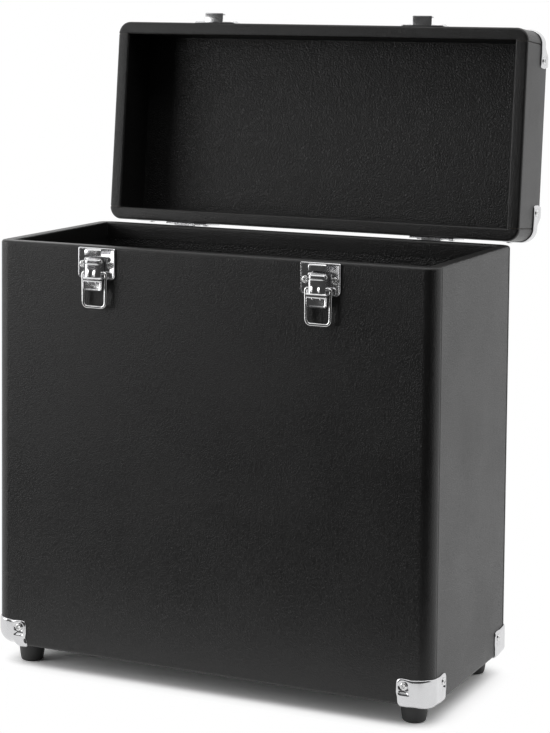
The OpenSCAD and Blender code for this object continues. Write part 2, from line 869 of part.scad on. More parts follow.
module lid_corner(x, y) {
  color([0.85, 0.86, 0.88]) thrown_back() at_lid_corner(x, y) corner_shell(lid_corner_h, true);
}

module lid_corner_front_left() { lid_corner(-1, -1); }
module lid_corner_front_right() { lid_corner(1, -1); }
module lid_corner_back_left() { lid_corner(-1, 1); }
module lid_corner_back_right() { lid_corner(1, 1); }

module left_catch() { color([0.8, 0.8, 0.82]) thrown_back() on_front(-latch_x, plate_top_z) catch(); }
module right_catch() { color([0.8, 0.8, 0.82]) thrown_back() on_front(latch_x, plate_top_z) catch(); }
module left_handle_bracket() { color([0.8, 0.8, 0.82]) thrown_back() at_bracket(-1) handle_bracket(); }
module right_handle_bracket() { color([0.8, 0.8, 0.82]) thrown_back() at_bracket(1) handle_bracket(); }
module handle_pins() {
  color([0.6, 0.6, 0.62]) thrown_back() for (x = [-1, 1]) at_bracket(x) handle_pin();
}
module handle() { color([0.1, 0.1, 0.1]) thrown_back() hung_handle(); }
module lid_screws() { color([0.8, 0.8, 0.82]) thrown_back() each_lid_screw() screw(shank_l); }

body_front_board();
body_back_board();
body_left_board();
body_right_board();
body_floor_board();
body_front_covering();
body_back_covering();
body_left_covering();
body_right_covering();
body_floor_covering();
body_lining();
body_corner_front_left();
body_corner_front_right();
body_corner_back_left();
body_corner_back_right();
foot_front_left();
foot_front_right();
foot_back_left();
foot_back_right();
foot_screws();
body_screws();
left_latch_plate();
right_latch_plate();
lever_pins();
left_latch_lever();
right_latch_lever();
left_bail();
right_bail();
left_body_hinge_leaf();
right_body_hinge_leaf();
hinge_pins();
lid_top_board();
lid_front_rail();
lid_back_rail();
lid_left_rail();
lid_right_rail();
lid_top_covering();
lid_front_covering();
lid_back_covering();
lid_left_covering();
lid_right_covering();
lid_lining();
lid_corner_front_left();
lid_corner_front_right();
lid_corner_back_left();
lid_corner_back_right();
left_catch();
right_catch();
left_lid_hinge_leaf();
right_lid_hinge_leaf();
left_handle_bracket();
right_handle_bracket();
handle_pins();
lid_screws();
handle();
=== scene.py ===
# %% [markdown]
# # A carrying case for long-playing records, with its lid thrown back
# The case is a tall open box of covered board with a shallow hinged lid. Two draw latches hold it shut,
# pressed metal guards its corners, and it stands on four rubber feet.
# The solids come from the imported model. They carry the joints, so nothing here may move or stretch them.
# Each step below takes one kind of part, says what it is on a real case, and gives it a finer surface.

# %% Load the frame that everything hangs on
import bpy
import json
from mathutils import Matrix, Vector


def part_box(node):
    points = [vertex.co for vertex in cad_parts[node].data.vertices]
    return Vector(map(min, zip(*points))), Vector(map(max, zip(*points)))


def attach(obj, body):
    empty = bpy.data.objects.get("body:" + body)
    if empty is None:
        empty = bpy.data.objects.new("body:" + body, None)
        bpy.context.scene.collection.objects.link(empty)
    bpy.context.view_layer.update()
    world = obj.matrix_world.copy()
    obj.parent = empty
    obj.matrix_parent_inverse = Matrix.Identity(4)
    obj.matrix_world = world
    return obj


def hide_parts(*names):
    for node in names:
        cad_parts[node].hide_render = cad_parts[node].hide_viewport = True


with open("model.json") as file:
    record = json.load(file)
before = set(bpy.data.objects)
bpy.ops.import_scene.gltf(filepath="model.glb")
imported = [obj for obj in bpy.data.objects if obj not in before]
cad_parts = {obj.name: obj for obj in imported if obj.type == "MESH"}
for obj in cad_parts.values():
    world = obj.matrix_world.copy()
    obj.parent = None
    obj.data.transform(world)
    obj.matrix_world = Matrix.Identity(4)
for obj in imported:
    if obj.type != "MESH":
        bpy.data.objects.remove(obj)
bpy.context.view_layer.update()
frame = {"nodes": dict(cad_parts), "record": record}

import json
import math
import bpy
import numpy as np
from mathutils import Matrix

# %% [markdown]
# ## The camera
# The photograph was taken from a little above the rim and to the right of the front, with a long lens.
# Straight edges of the case, measured in the picture, fixed the place, the turn and the lens.
# The picture was cropped below the middle of the lens, which a small downward shift repeats.

# %% Put the camera where the photograph was taken
def unit(vector):
    """A vector divided by its length."""
    return vector / np.linalg.norm(vector)


def set_up(thing, right, up, away, place):
    """Links an object to the scene, with X to its right, Y up and Z away from what it faces."""
    bpy.context.scene.collection.objects.link(thing)
    turn = np.eye(4)
    turn[:3] = np.column_stack([right, up, away, place])
    thing.matrix_world = Matrix(turn.tolist())
    return thing


def aimed_camera(place, yaw, pitch, roll, lens, shift):
    """A camera at a place. It looks along +Y turned by yaw about Z, then down by pitch, then rolls about
    its line of sight."""
    y, p, r = (math.radians(v) for v in (yaw, pitch, roll))
    ahead = np.array([math.sin(y) * math.cos(p), math.cos(y) * math.cos(p), -math.sin(p)])
    level = np.array([math.cos(y), -math.sin(y), 0.0])
    upright = np.cross(level, ahead)
    right = level * math.cos(r) + upright * math.sin(r)
    up = upright * math.cos(r) - level * math.sin(r)
    data = bpy.data.cameras.new("camera")
    data.lens, data.sensor_width = lens, 36.0
    data.shift_x, data.shift_y = shift
    data.clip_start, data.clip_end = 0.05, 50.0
    return set_up(bpy.data.objects.new("camera", data), right, up, -ahead, place)

bpy.context.scene.camera = aimed_camera(
    place=(0.68870, -1.45617, 0.50588), yaw=-25.4584, pitch=4.3956, roll=0.4897,
    lens=106.816, shift=(0.03411, -0.28),
)
bpy.context.scene.view_settings.view_transform = "Standard"
print("camera at", tuple(round(v, 3) for v in bpy.context.scene.camera.location))

# %% [markdown]
# ## The room and its light
# Black leathercloth shows mostly what it mirrors. In the photograph the case stands on a small pale table in
# a white room, and the wall behind the camera is dark. So the front panel fades from left to right, the
# side panel gleams, and the metal is white with dark accents.
# The room is a soft gradient round the horizon. The camera itself sees plain white.

# %% Make the room
WHITE = (1, 1, 1, 1)


def node(tree, kind, **values):
    """A node of one kind, with its settings, and its unlinked inputs given by name or number after in_."""
    made = tree.nodes.new(kind)
    for name, value in values.items():
        if name.startswith("in_"):
            key = name[3:]
            made.inputs[int(key) if key.isdigit() else key].default_value = value
        else:
            setattr(made, name, value)
    return made


def wire(tree, *pairs):
    """Joins output sockets to input sockets, two by two."""
    for a, b in zip(pairs[::2], pairs[1::2]):
        tree.links.new(a, b)


def soft_fade(tree, start, stop, low=0.0, high=1.0):
    """A node that goes from low to high by a smooth step while its first input goes from start to stop."""
    return node(tree, "ShaderNodeMapRange", interpolation_type="SMOOTHSTEP",
                in_1=start, in_2=stop, in_3=low, in_4=high)


def room(wall_turn=math.radians(20), wall_dip=-0.15, still_white=0.30, all_dark=0.57, darkness=0.05):
    """White above and all round, falling to dark towards the wall behind the camera. The fall is a smooth
    step on the cosine of the angle to that wall."""
    world = bpy.data.worlds.new("room")
    bpy.context.scene.world = world
    world.use_nodes = True
    tree = world.node_tree
    tree.nodes.clear()
    way = node(tree, "ShaderNodeTexCoord")
    to_wall = (math.sin(wall_turn), -math.cos(wall_turn), wall_dip)
    aim = node(tree, "ShaderNodeVectorMath", operation="DOT_PRODUCT", in_1=to_wall)
    fade = soft_fade(tree, still_white, all_dark, 1.0, darkness)
    path = node(tree, "ShaderNodeLightPath")
    lit = node(tree, "ShaderNodeBackground", in_Color=WHITE)
    plain = node(tree, "ShaderNodeBackground", in_Color=WHITE, in_Strength=1.0)
    pick = node(tree, "ShaderNodeMixShader")
    out = node(tree, "ShaderNodeOutputWorld")
    wire(tree, way.outputs["Generated"], aim.inputs[0], aim.outputs["Value"], fade.inputs[0])
    wire(tree, fade.outputs[0], lit.inputs["Strength"], path.outputs["Is Camera Ray"], pick.inputs[0])
    wire(tree, lit.outputs[0], pick.inputs[1], plain.outputs[0], pick.inputs[2])
    wire(tree, pick.outputs[0], out.inputs["Surface"])

room()


def lamp(name, place, target, size, power):
    """A square soft lamp at a place, turned to face a target."""
    data = bpy.data.lights.new(name, "AREA")
    data.shape, data.size, data.energy = "SQUARE", size, power
    away = unit(np.array(place, float) - np.array(target, float))
    side = unit(np.cross([0, 0, 1], away))
    made = set_up(bpy.data.objects.new(name, data), side, np.cross(away, side), away, place)
    made.visible_camera = False

lamp("lamp_left", (-1.35, -1.10, 0.50), (0, 0, 0.2), 0.95, 8.5)
lamp("lamp_above", (0.1, -0.3, 1.9), (0, -0.1, 0.0), 1.2, 6.0)

# %% [markdown]
# ## Helpers for surfaces
# Most parts of a case are thin sheets: covering, pressed guards, plates. A sheet is two grids of points, the
# outer face and the inner face, joined round the border. Working with whole grids of numbers keeps each shape
# exact, and the joined border keeps it closed, so it has a real thickness wherever its edge shows.

# %% Build meshes from grids
MM = 0.001
made_pieces = {}


def grid_faces(rows, columns, ring=False):
    """Quads between neighbouring points of a grid. In a ring the last column joins the first."""
    i = np.arange(rows - 1)[:, None]
    j = np.arange(columns if ring else columns - 1)[None, :]
    k = (j + 1) % columns
    quads = np.stack([i * columns + j, i * columns + k, (i + 1) * columns + k, (i + 1) * columns + j], -1)
    return quads.reshape(-1, 4)


def outward(points, faces):
    """The faces, all turned round if the volume that they enclose, a sum of tetrahedra from the middle of
    the points, comes out negative."""
    faces = [np.asarray(f) for f in faces if len(f)]
    points = points - points.mean(0)
    volume = 0.0
    for face in faces:
        for k in range(1, face.shape[1] - 1):
            a, b, c = (points[face[:, n]] for n in (0, k, k + 1))
            volume += np.einsum("ij,ij->", a, np.cross(b, c))
    return faces if volume > 0 else [face[:, ::-1] for face in faces]


def closed_mesh(name, points, faces):
    """A mesh from points in millimetres and a list of face arrays, with its faces outwards."""
    points = np.asarray(points, float).reshape(-1, 3)
    faces = outward(points, faces)
    mesh = bpy.data.meshes.new(name)
    mesh.from_pydata((points * MM).tolist(), [], [face for block in faces for face in block.tolist()])
    mesh.validate()
    return mesh


def merged(parts):
    """Several (points, faces) pairs as one pair, with the face numbers moved on."""
    points, faces, start = [], [], 0
    for p, blocks in parts:
        p = np.asarray(p, float).reshape(-1, 3)
        points.append(p)
        faces += [f + start for f in outward(p, blocks)]
        start += len(p)
    return np.concatenate(points), faces


def sheet_parts(outer, inner):
    """Points and faces of a closed sheet between two grids of the same size, with walls round the border."""
    rows, columns = outer.shape[:2]
    count = rows * columns
    quads = grid_faces(rows, columns)
    number = np.arange(count).reshape(rows, columns)
    walls = []
    borders = (number[0], True), (number[-1], False), (number[:, 0], False), (number[:, -1], True)
    for line, turned in borders:
        wall = np.stack([line[:-1], line[1:], line[1:] + count, line[:-1] + count], -1)
        walls.append(wall[:, ::-1] if turned else wall)
    points = np.concatenate([outer.reshape(-1, 3), inner.reshape(-1, 3)])
    return points, [quads, quads[:, ::-1] + count, *walls]


def ring_stack(rings):
    """Points and faces of a closed body whose skin is a stack of rings of points, each end closed by one
    flat face."""
    rings = np.asarray(rings, float)
    rows, columns = rings.shape[:2]
    first = np.arange(columns)[None, ::-1]
    last = (rows - 1) * columns + np.arange(columns)[None, :]
    return rings.reshape(-1, 3), [grid_faces(rows, columns, True), first, last]


def place_piece(name, parts, body, slot, solid, smooth=35):
    """Makes a piece of (points, faces) in the slot's finish, shades it smooth except along edges sharper
    than smooth degrees, hides the solid that it stands for and ties it to its body. What rides on
    the lid is made on the shut lid, and thrown back here."""
    points, faces = parts
    mesh = closed_mesh(name, thrown_back(points) if body in ("lid", "handle") else points, faces)
    piece = bpy.data.objects.new(name, mesh)
    bpy.context.scene.collection.objects.link(piece)
    mesh.shade_smooth()
    mesh.set_sharp_from_angle(angle=math.radians(smooth))
    mesh.materials.append(finish_of[slot])
    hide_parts(solid)
    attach(piece, body)
    made_pieces[name] = len(mesh.polygons)

print("mesh helpers ready")

# %% Read the main measures off the solids
def size_of(name):
    """Lowest and highest corner of a solid, in millimetres."""
    low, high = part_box(name)
    return np.array(low) * 1000, np.array(high) * 1000


low, high = size_of("body_front_covering")
case_w, front_y, back_y = high[0] - low[0], low[1], size_of("body_back_covering")[1][1]
case_d = back_y - front_y
floor_z, rim_z = low[2], high[2]
# Radius of the upright edges, thickness of a wall with its covering and lining, and of the covering alone.
edge_r, wall_t, sheet_t = 10.0, 9.5, 0.95
# The hinge pin lies this far behind the back and below the rim, and the open lid has turned this far.
hinge_out, hinge_drop, lid_open = 5.3, 3.9, math.radians(95.5)
hinge_y, hinge_z = back_y + hinge_out, rim_z - hinge_drop
# The shut lid lies this far above the rim, and is this high.
lid_gap, lid_h = 1.0, 49.5
lid_rim_z = rim_z + lid_gap
lid_top_z = lid_rim_z + lid_h
print("case", round(case_w, 2), "wide,", round(case_d, 2), "deep, rim at", round(rim_z, 2))

# Top of the latches' plates, and how far the latches, hinges and brackets lie from the middle of the case.
plate_top = rim_z - 1.0
latch_x, hinge_x, bracket_x = case_w / 2 - 86.0, case_w / 2 - 70.0, 64.0
SIDES, ENDS = (("left", -1), ("right", 1)), (("front", -1), ("back", 1))


def thrown_back(points):
    """Points of the shut lid, turned about the hinge pin to where the open lid is."""
    p = np.array(points, float)
    y, z = p[..., 1] - hinge_y, p[..., 2] - hinge_z
    c, s = math.cos(lid_open), math.sin(lid_open)
    p[..., 1], p[..., 2] = hinge_y + y * c + z * s, hinge_z - y * s + z * c
    return p

# %% [markdown]
# ## Surface effects that several finishes share
# Leathercloth is a cloth-backed vinyl with a pebble grain rolled into it while it is warm. The grain is a net
# of fine creases round small raised cells, so it is made from the distance to the nearest cell edge, bent by
# noise. Handling adds faint cloudy differences in gloss. Plated metal has hairlines and a little haze.
# Each effect is a node group with its own sockets, placed in every finish that needs it.

# %% Shader groups
def new_group(name, inputs, outputs):
    """An empty shader group with named number or vector sockets, and its two end nodes."""
    group = bpy.data.node_groups.new(name, "ShaderNodeTree")
    for label, kind, value in inputs:
        socket = group.interface.new_socket(name=label, in_out="INPUT", socket_type="NodeSocket" + kind)
        if value is not None:
            socket.default_value = value
    for label in outputs:
        group.interface.new_socket(name=label, in_out="OUTPUT", socket_type="NodeSocketFloat")
    return group, group.nodes.new("NodeGroupInput").outputs, group.nodes.new("NodeGroupOutput").inputs


def pebble_group():
    """Pebble grain. Height is the distance to the nearest cell edge, capped so that the cells have flat
    crowns, plus fine noise. Painted_crease_shade is 1 in the creases and masks the painted shade laid on
    them, and cloud is a slow drift."""
    group, given, end = new_group(
        "pebble_grain",
        [("Vector", "Vector", None), ("Cells", "Float", 650.0), ("Fine", "Float", 0.25)],
        ["Height", "Painted_crease_shade", "Cloud"],
    )
    bend = node(group, "ShaderNodeTexNoise", in_Scale=420.0, in_Detail=2.0)
    shift = node(group, "ShaderNodeVectorMath", operation="MULTIPLY_ADD", in_1=(0.0022, 0.0022, 0.0022))
    cells = node(group, "ShaderNodeTexVoronoi", feature="DISTANCE_TO_EDGE")
    crown = soft_fade(group, 0.0, 0.28)
    fine = node(group, "ShaderNodeTexNoise", in_Scale=2600.0, in_Detail=2.0)
    total = node(group, "ShaderNodeMath", operation="MULTIPLY_ADD")
    # Mask of the painted shade in the creases: 1 at the cell edges, 0 on the crowns.
    painted_crease_shade = node(group, "ShaderNodeMath", operation="SUBTRACT", in_0=1.0)
    cloud = node(group, "ShaderNodeTexNoise", in_Scale=14.0, in_Detail=4.0, in_Roughness=0.6)
    for noise in (bend, fine, cloud):
        wire(group, given["Vector"], noise.inputs["Vector"])
    wire(group, bend.outputs["Color"], shift.inputs[0], given["Vector"], shift.inputs[2])
    wire(group, shift.outputs[0], cells.inputs["Vector"], given["Cells"], cells.inputs["Scale"])
    wire(group, cells.outputs["Distance"], crown.inputs[0], crown.outputs[0], painted_crease_shade.inputs[1])
    wire(group, fine.outputs["Fac"], total.inputs[0], given["Fine"], total.inputs[1])
    wire(group, crown.outputs[0], total.inputs[2], total.outputs[0], end["Height"])
    wire(group, painted_crease_shade.outputs[0], end["Painted_crease_shade"], cloud.outputs["Fac"], end["Cloud"])
    return group


def hairline_group():
    """Handling marks on plating. Lines are noise stretched sixty times along one way, and haze is a slow
    cloud."""
    group, given, end = new_group(
        "hairlines",
        [("Vector", "Vector", None), ("Stretch", "Vector", (1500.0, 1500.0, 25.0))],
        ["Lines", "Haze"],
    )
    pull = node(group, "ShaderNodeVectorMath", operation="MULTIPLY")
    lines = node(group, "ShaderNodeTexNoise", in_Scale=1.0, in_Detail=3.0)
    haze = node(group, "ShaderNodeTexNoise", in_Scale=90.0, in_Detail=3.0)
    wire(group, given["Vector"], pull.inputs[0], given["Stretch"], pull.inputs[1])
    wire(group, pull.outputs[0], lines.inputs["Vector"], given["Vector"], haze.inputs["Vector"])
    wire(group, lines.outputs["Fac"], end["Lines"], haze.outputs["Fac"], end["Haze"])
    return group

PEBBLE, HAIRLINES = pebble_group(), hairline_group()
print("groups:", PEBBLE.name, HAIRLINES.name)

# %% [markdown]
# ## The finishes
# Black leathercloth on the outside, the same cloth a little duller inside, bright nickel plate on the
# hardware, moulded rubber feet, a moulded handle, and raw board that only shows where a covering ends.
# A finish has a colour that varies, a gloss that varies, and a relief. Its fixed numbers sit on the shader.

# %% Make the finishes
def new_finish(name, **fixed):
    """A material with a Principled shader whose fixed sockets are set. Gives the material, its tree, the
    shader's sockets and the object coordinates."""
    material = bpy.data.materials.new(name)
    material.use_nodes = True
    tree = material.node_tree
    sockets = tree.nodes["Principled BSDF"].inputs
    for label, value in fixed.items():
        sockets[label].default_value = value
    return material, tree, sockets, node(tree, "ShaderNodeTexCoord").outputs["Object"]


def placed(tree, group, where, **values):
    """One use of a shader group at the coordinates where, with its unlinked inputs set."""
    made = node(tree, "ShaderNodeGroup", node_tree=group)
    for label, value in values.items():
        made.inputs[label].default_value = value
    wire(tree, where, made.inputs["Vector"])
    return made.outputs


def two_tones(tree, amount, low_colour, high_colour):
    """A colour between two, by an amount from 0.3 to 0.7."""
    ramp = node(tree, "ShaderNodeValToRGB")
    for stop, place, colour in zip(ramp.color_ramp.elements, (0.3, 0.7), (low_colour, high_colour)):
        stop.position, stop.color = place, (*colour, 1)
    wire(tree, amount, ramp.inputs[0])
    return ramp.outputs[0]


def spread(tree, amount, low, high, start=0.3, stop=0.7):
    """A number between low and high, by an amount from start to stop."""
    made = node(tree, "ShaderNodeMapRange", in_1=start, in_2=stop, in_3=low, in_4=high)
    wire(tree, amount, made.inputs[0])
    return made.outputs[0]


def finished(tree, sockets, colour, rough, height, depth):
    """Wires the colour, the roughness and a bump of that depth in millimetres into the shader."""
    bump = node(tree, "ShaderNodeBump", in_Strength=1.0, in_Distance=depth * MM)
    wire(tree, colour, sockets["Base Color"], rough, sockets["Roughness"])
    wire(tree, height, bump.inputs["Height"], bump.outputs[0], sockets["Normal"])


def leathercloth(name, dark, light, gloss, depth, cells=650.0):
    """Pebbled vinyl: colour and gloss drift with the cloud, the creases get painted shade as a darker colour,
    and the cells stand up by depth."""
    material, tree, sockets, where = new_finish(name, IOR=1.48)
    grain = placed(tree, PEBBLE, where, Cells=cells)
    # Painted shade: in the creases of the grain the colour is multiplied towards a 0.35 grey.
    painted_crease_shade = node(tree, "ShaderNodeMix", data_type="RGBA", blend_type="MULTIPLY", in_7=(0.35, 0.35, 0.35, 1))
    wire(tree, two_tones(tree, grain["Cloud"], dark, light), painted_crease_shade.inputs[6])
    wire(tree, spread(tree, grain["Painted_crease_shade"], 0.0, 0.6, 0.0, 1.0), painted_crease_shade.inputs[0])
    rough = spread(tree, grain["Cloud"], gloss - 0.03, gloss + 0.05)
    finished(tree, sockets, painted_crease_shade.outputs[2], rough, grain["Height"], depth)
    return material


def plated(name, tint, gloss, stretch=(1500.0, 1500.0, 25.0), depth=0.004):
    """Bright plate: a slightly cloudy mirror whose gloss wanders with hairlines."""
    material, tree, sockets, where = new_finish(name, Metallic=1.0)
    marks = placed(tree, HAIRLINES, where, Stretch=stretch)
    colour = two_tones(tree, marks["Haze"], tuple(0.92 * v for v in tint), tint)
    rough = spread(tree, marks["Haze"], gloss * 0.8, gloss * 1.4)
    finished(tree, sockets, colour, rough, marks["Lines"], depth)
    return material


def moulded(name, dark, light, gloss, grain_scale, depth):
    """Moulded rubber or plastic: an even colour with a fine stipple from the mould."""
    material, tree, sockets, where = new_finish(name, IOR=1.5)
    stipple = node(tree, "ShaderNodeTexNoise", in_Scale=grain_scale, in_Detail=4.0, in_Roughness=0.65)
    cloud = node(tree, "ShaderNodeTexNoise", in_Scale=30.0, in_Detail=3.0)
    wire(tree, where, stipple.inputs["Vector"], where, cloud.inputs["Vector"])
    rough = spread(tree, cloud.outputs["Fac"], gloss - 0.05, gloss + 0.07)
    colour = two_tones(tree, cloud.outputs["Fac"], (dark,) * 3, (light,) * 3)
    finished(tree, sockets, colour, rough, stipple.outputs["Fac"], depth)
    return material


def raw_board():
    """Pressed fibre board: short fibres from noise pulled along the board, over two browns."""
    material, tree, sockets, where = new_finish("raw_board", IOR=1.45)
    fibres = placed(tree, HAIRLINES, where, Stretch=(900.0, 60.0, 900.0))
    colour = two_tones(tree, fibres["Lines"], (0.26, 0.17, 0.10), (0.42, 0.30, 0.19))
    finished(tree, sockets, colour, spread(tree, fibres["Haze"], 0.75, 0.9), fibres["Lines"], 0.1)
    return material

LIGHT_CLOTH = (0.0130, 0.0127, 0.0126)
finish_of = {
    "covering": leathercloth("leathercloth", (0.0095, 0.0093, 0.0092), LIGHT_CLOTH, 0.36, 0.075),
    "lining": leathercloth("lining_cloth", (0.0090, 0.0088, 0.0087), LIGHT_CLOTH, 0.42, 0.22, 520.0),
    "corner_plate": plated("bright_plate", (0.68, 0.68, 0.69), 0.14),
    "latch_plate": plated("latch_bright", (0.80, 0.80, 0.81), 0.15),
    "bail_wire": plated("wire_bright", (0.84, 0.84, 0.84), 0.10, (25.0, 1500.0, 1500.0)),
    "hinge_steel": plated("hinge_plate", (0.72, 0.72, 0.73), 0.22),
    "screw_steel": plated("screw_plate", (0.78, 0.78, 0.78), 0.15, (1800.0, 1800.0, 1800.0), 0.006),
    "foot_rubber": moulded("black_rubber", 0.012, 0.019, 0.55, 900.0, 0.03),
    "handle_plastic": moulded("handle_moulding", 0.016, 0.022, 0.42, 1400.0, 0.05),
    "board": raw_board(),
}
print("finishes:", ", ".join(m.name for m in finish_of.values()))

# %% Dress the solids that stay
slot_of = {entry["node"]: entry["material_slot"] for entry in frame["record"]["subparts"]}
for name, solid in frame["nodes"].items():
    for place in solid.material_slots:
        place.material = finish_of[slot_of[name]]
print(len(slot_of), "solids dressed")

# %% [markdown]
# ## The table
# A small pale table top. It is matt, so it takes the soft shadow under the case. Its colour is paler for the
# camera and in mirrored views than for the light that it throws back, and away from the case it turns to the
# plain white of the room, so only the shadow close round the feet shows. It ends a little in front of the
# case, so that the front mirrors the dark wall and not the table.

# %% Lay the table
def grey(level):
    """A plain grey with its alpha."""
    return level, level, level, 1


def table_top(x0, x1, y0, y1, foot=(0.155, 0.060, 0.0), still=0.006, gone=0.034):
    """A flat sheet at the height of the foot tips, from x0 to x1 and y0 to y1 in metres. It fades to white
    from still to gone metres outside the rectangle of half sizes foot."""
    material = bpy.data.materials.new("pale_table")
    material.use_nodes = True
    tree = material.node_tree
    tree.nodes.clear()
    matt = node(tree, "ShaderNodeBsdfDiffuse")
    shade = node(tree, "ShaderNodeMix", data_type="RGBA", in_6=grey(0.86), in_7=grey(1.45))
    path = node(tree, "ShaderNodeLightPath").outputs
    mirrored = node(tree, "ShaderNodeMath", operation="MAXIMUM")
    shown = node(tree, "ShaderNodeMath", operation="MAXIMUM")
    place = node(tree, "ShaderNodeNewGeometry")
    size = node(tree, "ShaderNodeVectorMath", operation="ABSOLUTE")
    past = node(tree, "ShaderNodeVectorMath", operation="SUBTRACT", in_1=foot)
    beyond = node(tree, "ShaderNodeVectorMath", operation="MAXIMUM", in_1=(0.0, 0.0, 0.0))
    away = node(tree, "ShaderNodeVectorMath", operation="LENGTH")
    fade = soft_fade(tree, still, gone)
    amount = node(tree, "ShaderNodeMath", operation="MULTIPLY")
    white = node(tree, "ShaderNodeEmission", in_Color=WHITE, in_Strength=1.0)
    mix = node(tree, "ShaderNodeMixShader")
    out = node(tree, "ShaderNodeOutputMaterial")
    wire(tree, path["Is Glossy Ray"], mirrored.inputs[0], path["Is Transmission Ray"], mirrored.inputs[1])
    wire(tree, path["Is Camera Ray"], shown.inputs[0], mirrored.outputs[0], shown.inputs[1])
    wire(tree, shown.outputs[0], shade.inputs[0], shade.outputs[2], matt.inputs["Color"])
    wire(tree, place.outputs["Position"], size.inputs[0], size.outputs[0], past.inputs[0])
    wire(tree, past.outputs[0], beyond.inputs[0], beyond.outputs[0], away.inputs[0])
    wire(tree, away.outputs["Value"], fade.inputs[0], fade.outputs[0], amount.inputs[0])
    wire(tree, shown.outputs[0], amount.inputs[1], amount.outputs[0], mix.inputs[0])
    wire(tree, matt.outputs[0], mix.inputs[1], white.outputs[0], mix.inputs[2])
    wire(tree, mix.outputs[0], out.inputs["Surface"])
    mesh = bpy.data.meshes.new("table_top")
    mesh.from_pydata([(x0, y0, 0), (x1, y0, 0), (x1, y1, 0), (x0, y1, 0)], [], [(0, 1, 2, 3)])
    mesh.materials.append(material)
    top = bpy.data.objects.new("table_top", mesh)
    bpy.context.scene.collection.objects.link(top)

table_top(-3.0, 3.0, -0.20, 4.0)
print("table laid")

# %% [markdown]
# ## The coverings of the body
# The cloth is glued on in four pieces. A front piece runs from one side seam round both upright edges to the
# other and turns over the rim and under the floor, and so does a back piece. A flat panel fills each side
# between them. The seams are butted, so they show as thin dark lines beside the rounded edges.
# The shape is one profile, up the inside, over the rim, down the wall and under, carried along the plan of
# the case. Under the corner guards the lower edge is planed to the radius that each guard was beaten to. In
# the photograph the front left corner is much rounder than the front right one.

# %% Carry a profile along the walls
# Radius of the ball of a round corner and of a tight one.
ROUND, TIGHT = 11.0, 4.0


def arc(cx, cy, r, a0, a1, steps):
    """Points round a centre from angle a0 to a1 in degrees, at radius r."""
    a = np.radians(np.linspace(a0, a1, steps))
    return np.stack([cx + r * np.cos(a), cy + r * np.sin(a)], -1)


def wall_profile(foot, head, foot_r, head_r=2.0, hem=12.0, lap=9.3, inner_r=1.4):
    """Profile of a covering as (inset, height): a hem inside the wall, rounded over the rim, down the face,
    round the lower edge and under."""
    hem_in = wall_t + 0.35
    stop = 270 if foot_r < lap else 180 + math.degrees(math.acos((foot_r - lap) / foot_r))
    parts = [
        np.array([[hem_in, head - hem], [hem_in, head - hem * 0.5]]),
        arc(hem_in - inner_r, head - inner_r, inner_r, 0, 90, 7),
        arc(head_r, head - head_r, head_r, 90, 180, 9),
        np.stack([np.zeros(4), np.linspace(head - head_r - 3, foot + 14, 4)], -1),
        arc(foot_r, foot + foot_r, foot_r, 180, stop, 15),
    ]
    last = parts[-1][-1]
    return np.concatenate(parts + [np.array([[max(lap, last[0] + 0.05), last[1]]])])


def profile_normals(profile):
    """Unit normals of a profile, on the left of its direction, as the mean of its two neighbouring pieces.
    The wall lies on that side."""
    step = np.diff(profile, axis=0)
    length = np.linalg.norm(step, axis=1, keepdims=True)
    step = step / np.where(length < 1e-9, 1, length)
    step = np.where(length < 1e-9, np.roll(step, 1, 0), step)
    mean = np.concatenate([step[:1], step[:-1] + step[1:], step[-1:]])
    mean /= np.linalg.norm(mean, axis=1, keepdims=True)
    return np.stack([-mean[:, 1], mean[:, 0]], -1)


def lower_radius(from_corner, ball, plain=2.5, start=11.0, stop=20.0):
    """Radius of the lower edge: that of the ball at a corner, easing down to the plain one by a smooth step
    between start and stop."""
    t = np.clip((from_corner - start) / (stop - start), 0, 1)
    return ball + (plain - ball) * t * t * (3 - 2 * t)


def run_stops(length, between):
    """Distances along a run in order, and how far the cloth draws in there: it rounds down to the seam at
    both ends."""
    near, dip = np.array([0.0, 0.2, 0.5, 1.0]), [0.55, 0.22, 0.06, 0.0]
    run = np.concatenate([near, (length - near)[::-1], between])
    dips = np.concatenate([dip, dip[::-1], np.zeros(len(between))])
    order = np.argsort(run)
    return run[order], dips[order]


def wrap_run(balls, sign):
    """The plan from a side seam round one upright edge, along the wall and round the other edge, with the
    ball radius at either end. Gives points, outward normals, how far the cloth draws in, and the radius of
    the lower edge."""
    x, y = case_w / 2 - edge_r, case_d / 2 - edge_r
    quarter, straight = math.pi / 2 * edge_r, 2 * x
    far = quarter + straight
    ease = np.arange(0.0, 17.0, 1.0)
    run, dips = run_stops(far + quarter, np.concatenate([
        np.linspace(1.6, quarter - 0.5, 14), quarter + ease, quarter + np.linspace(20, straight - 20, 20),
        (far - ease)[::-1], far + np.linspace(0.5, quarter - 1.6, 14),
    ]))
    first, last = run < quarter, run > far
    a = np.where(first, run / edge_r, np.where(last, (run - straight) / edge_r, math.pi / 2))
    normals = np.stack([-np.cos(a), -np.sin(a)], -1)
    middle = np.where(first, -x, np.where(last, x, run - quarter - x))
    points = np.stack([middle + edge_r * normals[:, 0], -y + edge_r * normals[:, 1]], -1)
    ball = np.where(run - quarter < far - run, *balls)
    radii = lower_radius(edge_r + np.minimum(run - quarter, far - run), ball)
    return points * (1, -sign), normals * (1, -sign), dips, radii


def side_run(balls, sign, seam=0.15, low=0.12):
    """The straight run of a side panel between its two seams, in the same form. It lies a little lower than
    the wraps."""
    half = case_d / 2 - edge_r - seam
    ease = np.arange(2.0, 17.0, 1.0)
    between = np.concatenate([ease, np.linspace(20, 2 * half - 20, 8), (2 * half - ease)[::-1]])
    run, dips = run_stops(2 * half, between)
    points = np.stack([np.full(len(run), sign * case_w / 2), run - half], -1)
    normals = np.stack([np.full(len(run), float(sign)), np.zeros(len(run))], -1)
    radii = lower_radius(edge_r + np.minimum(run, 2 * half - run), np.where(run < half, *balls))
    return points, normals, dips + low, radii


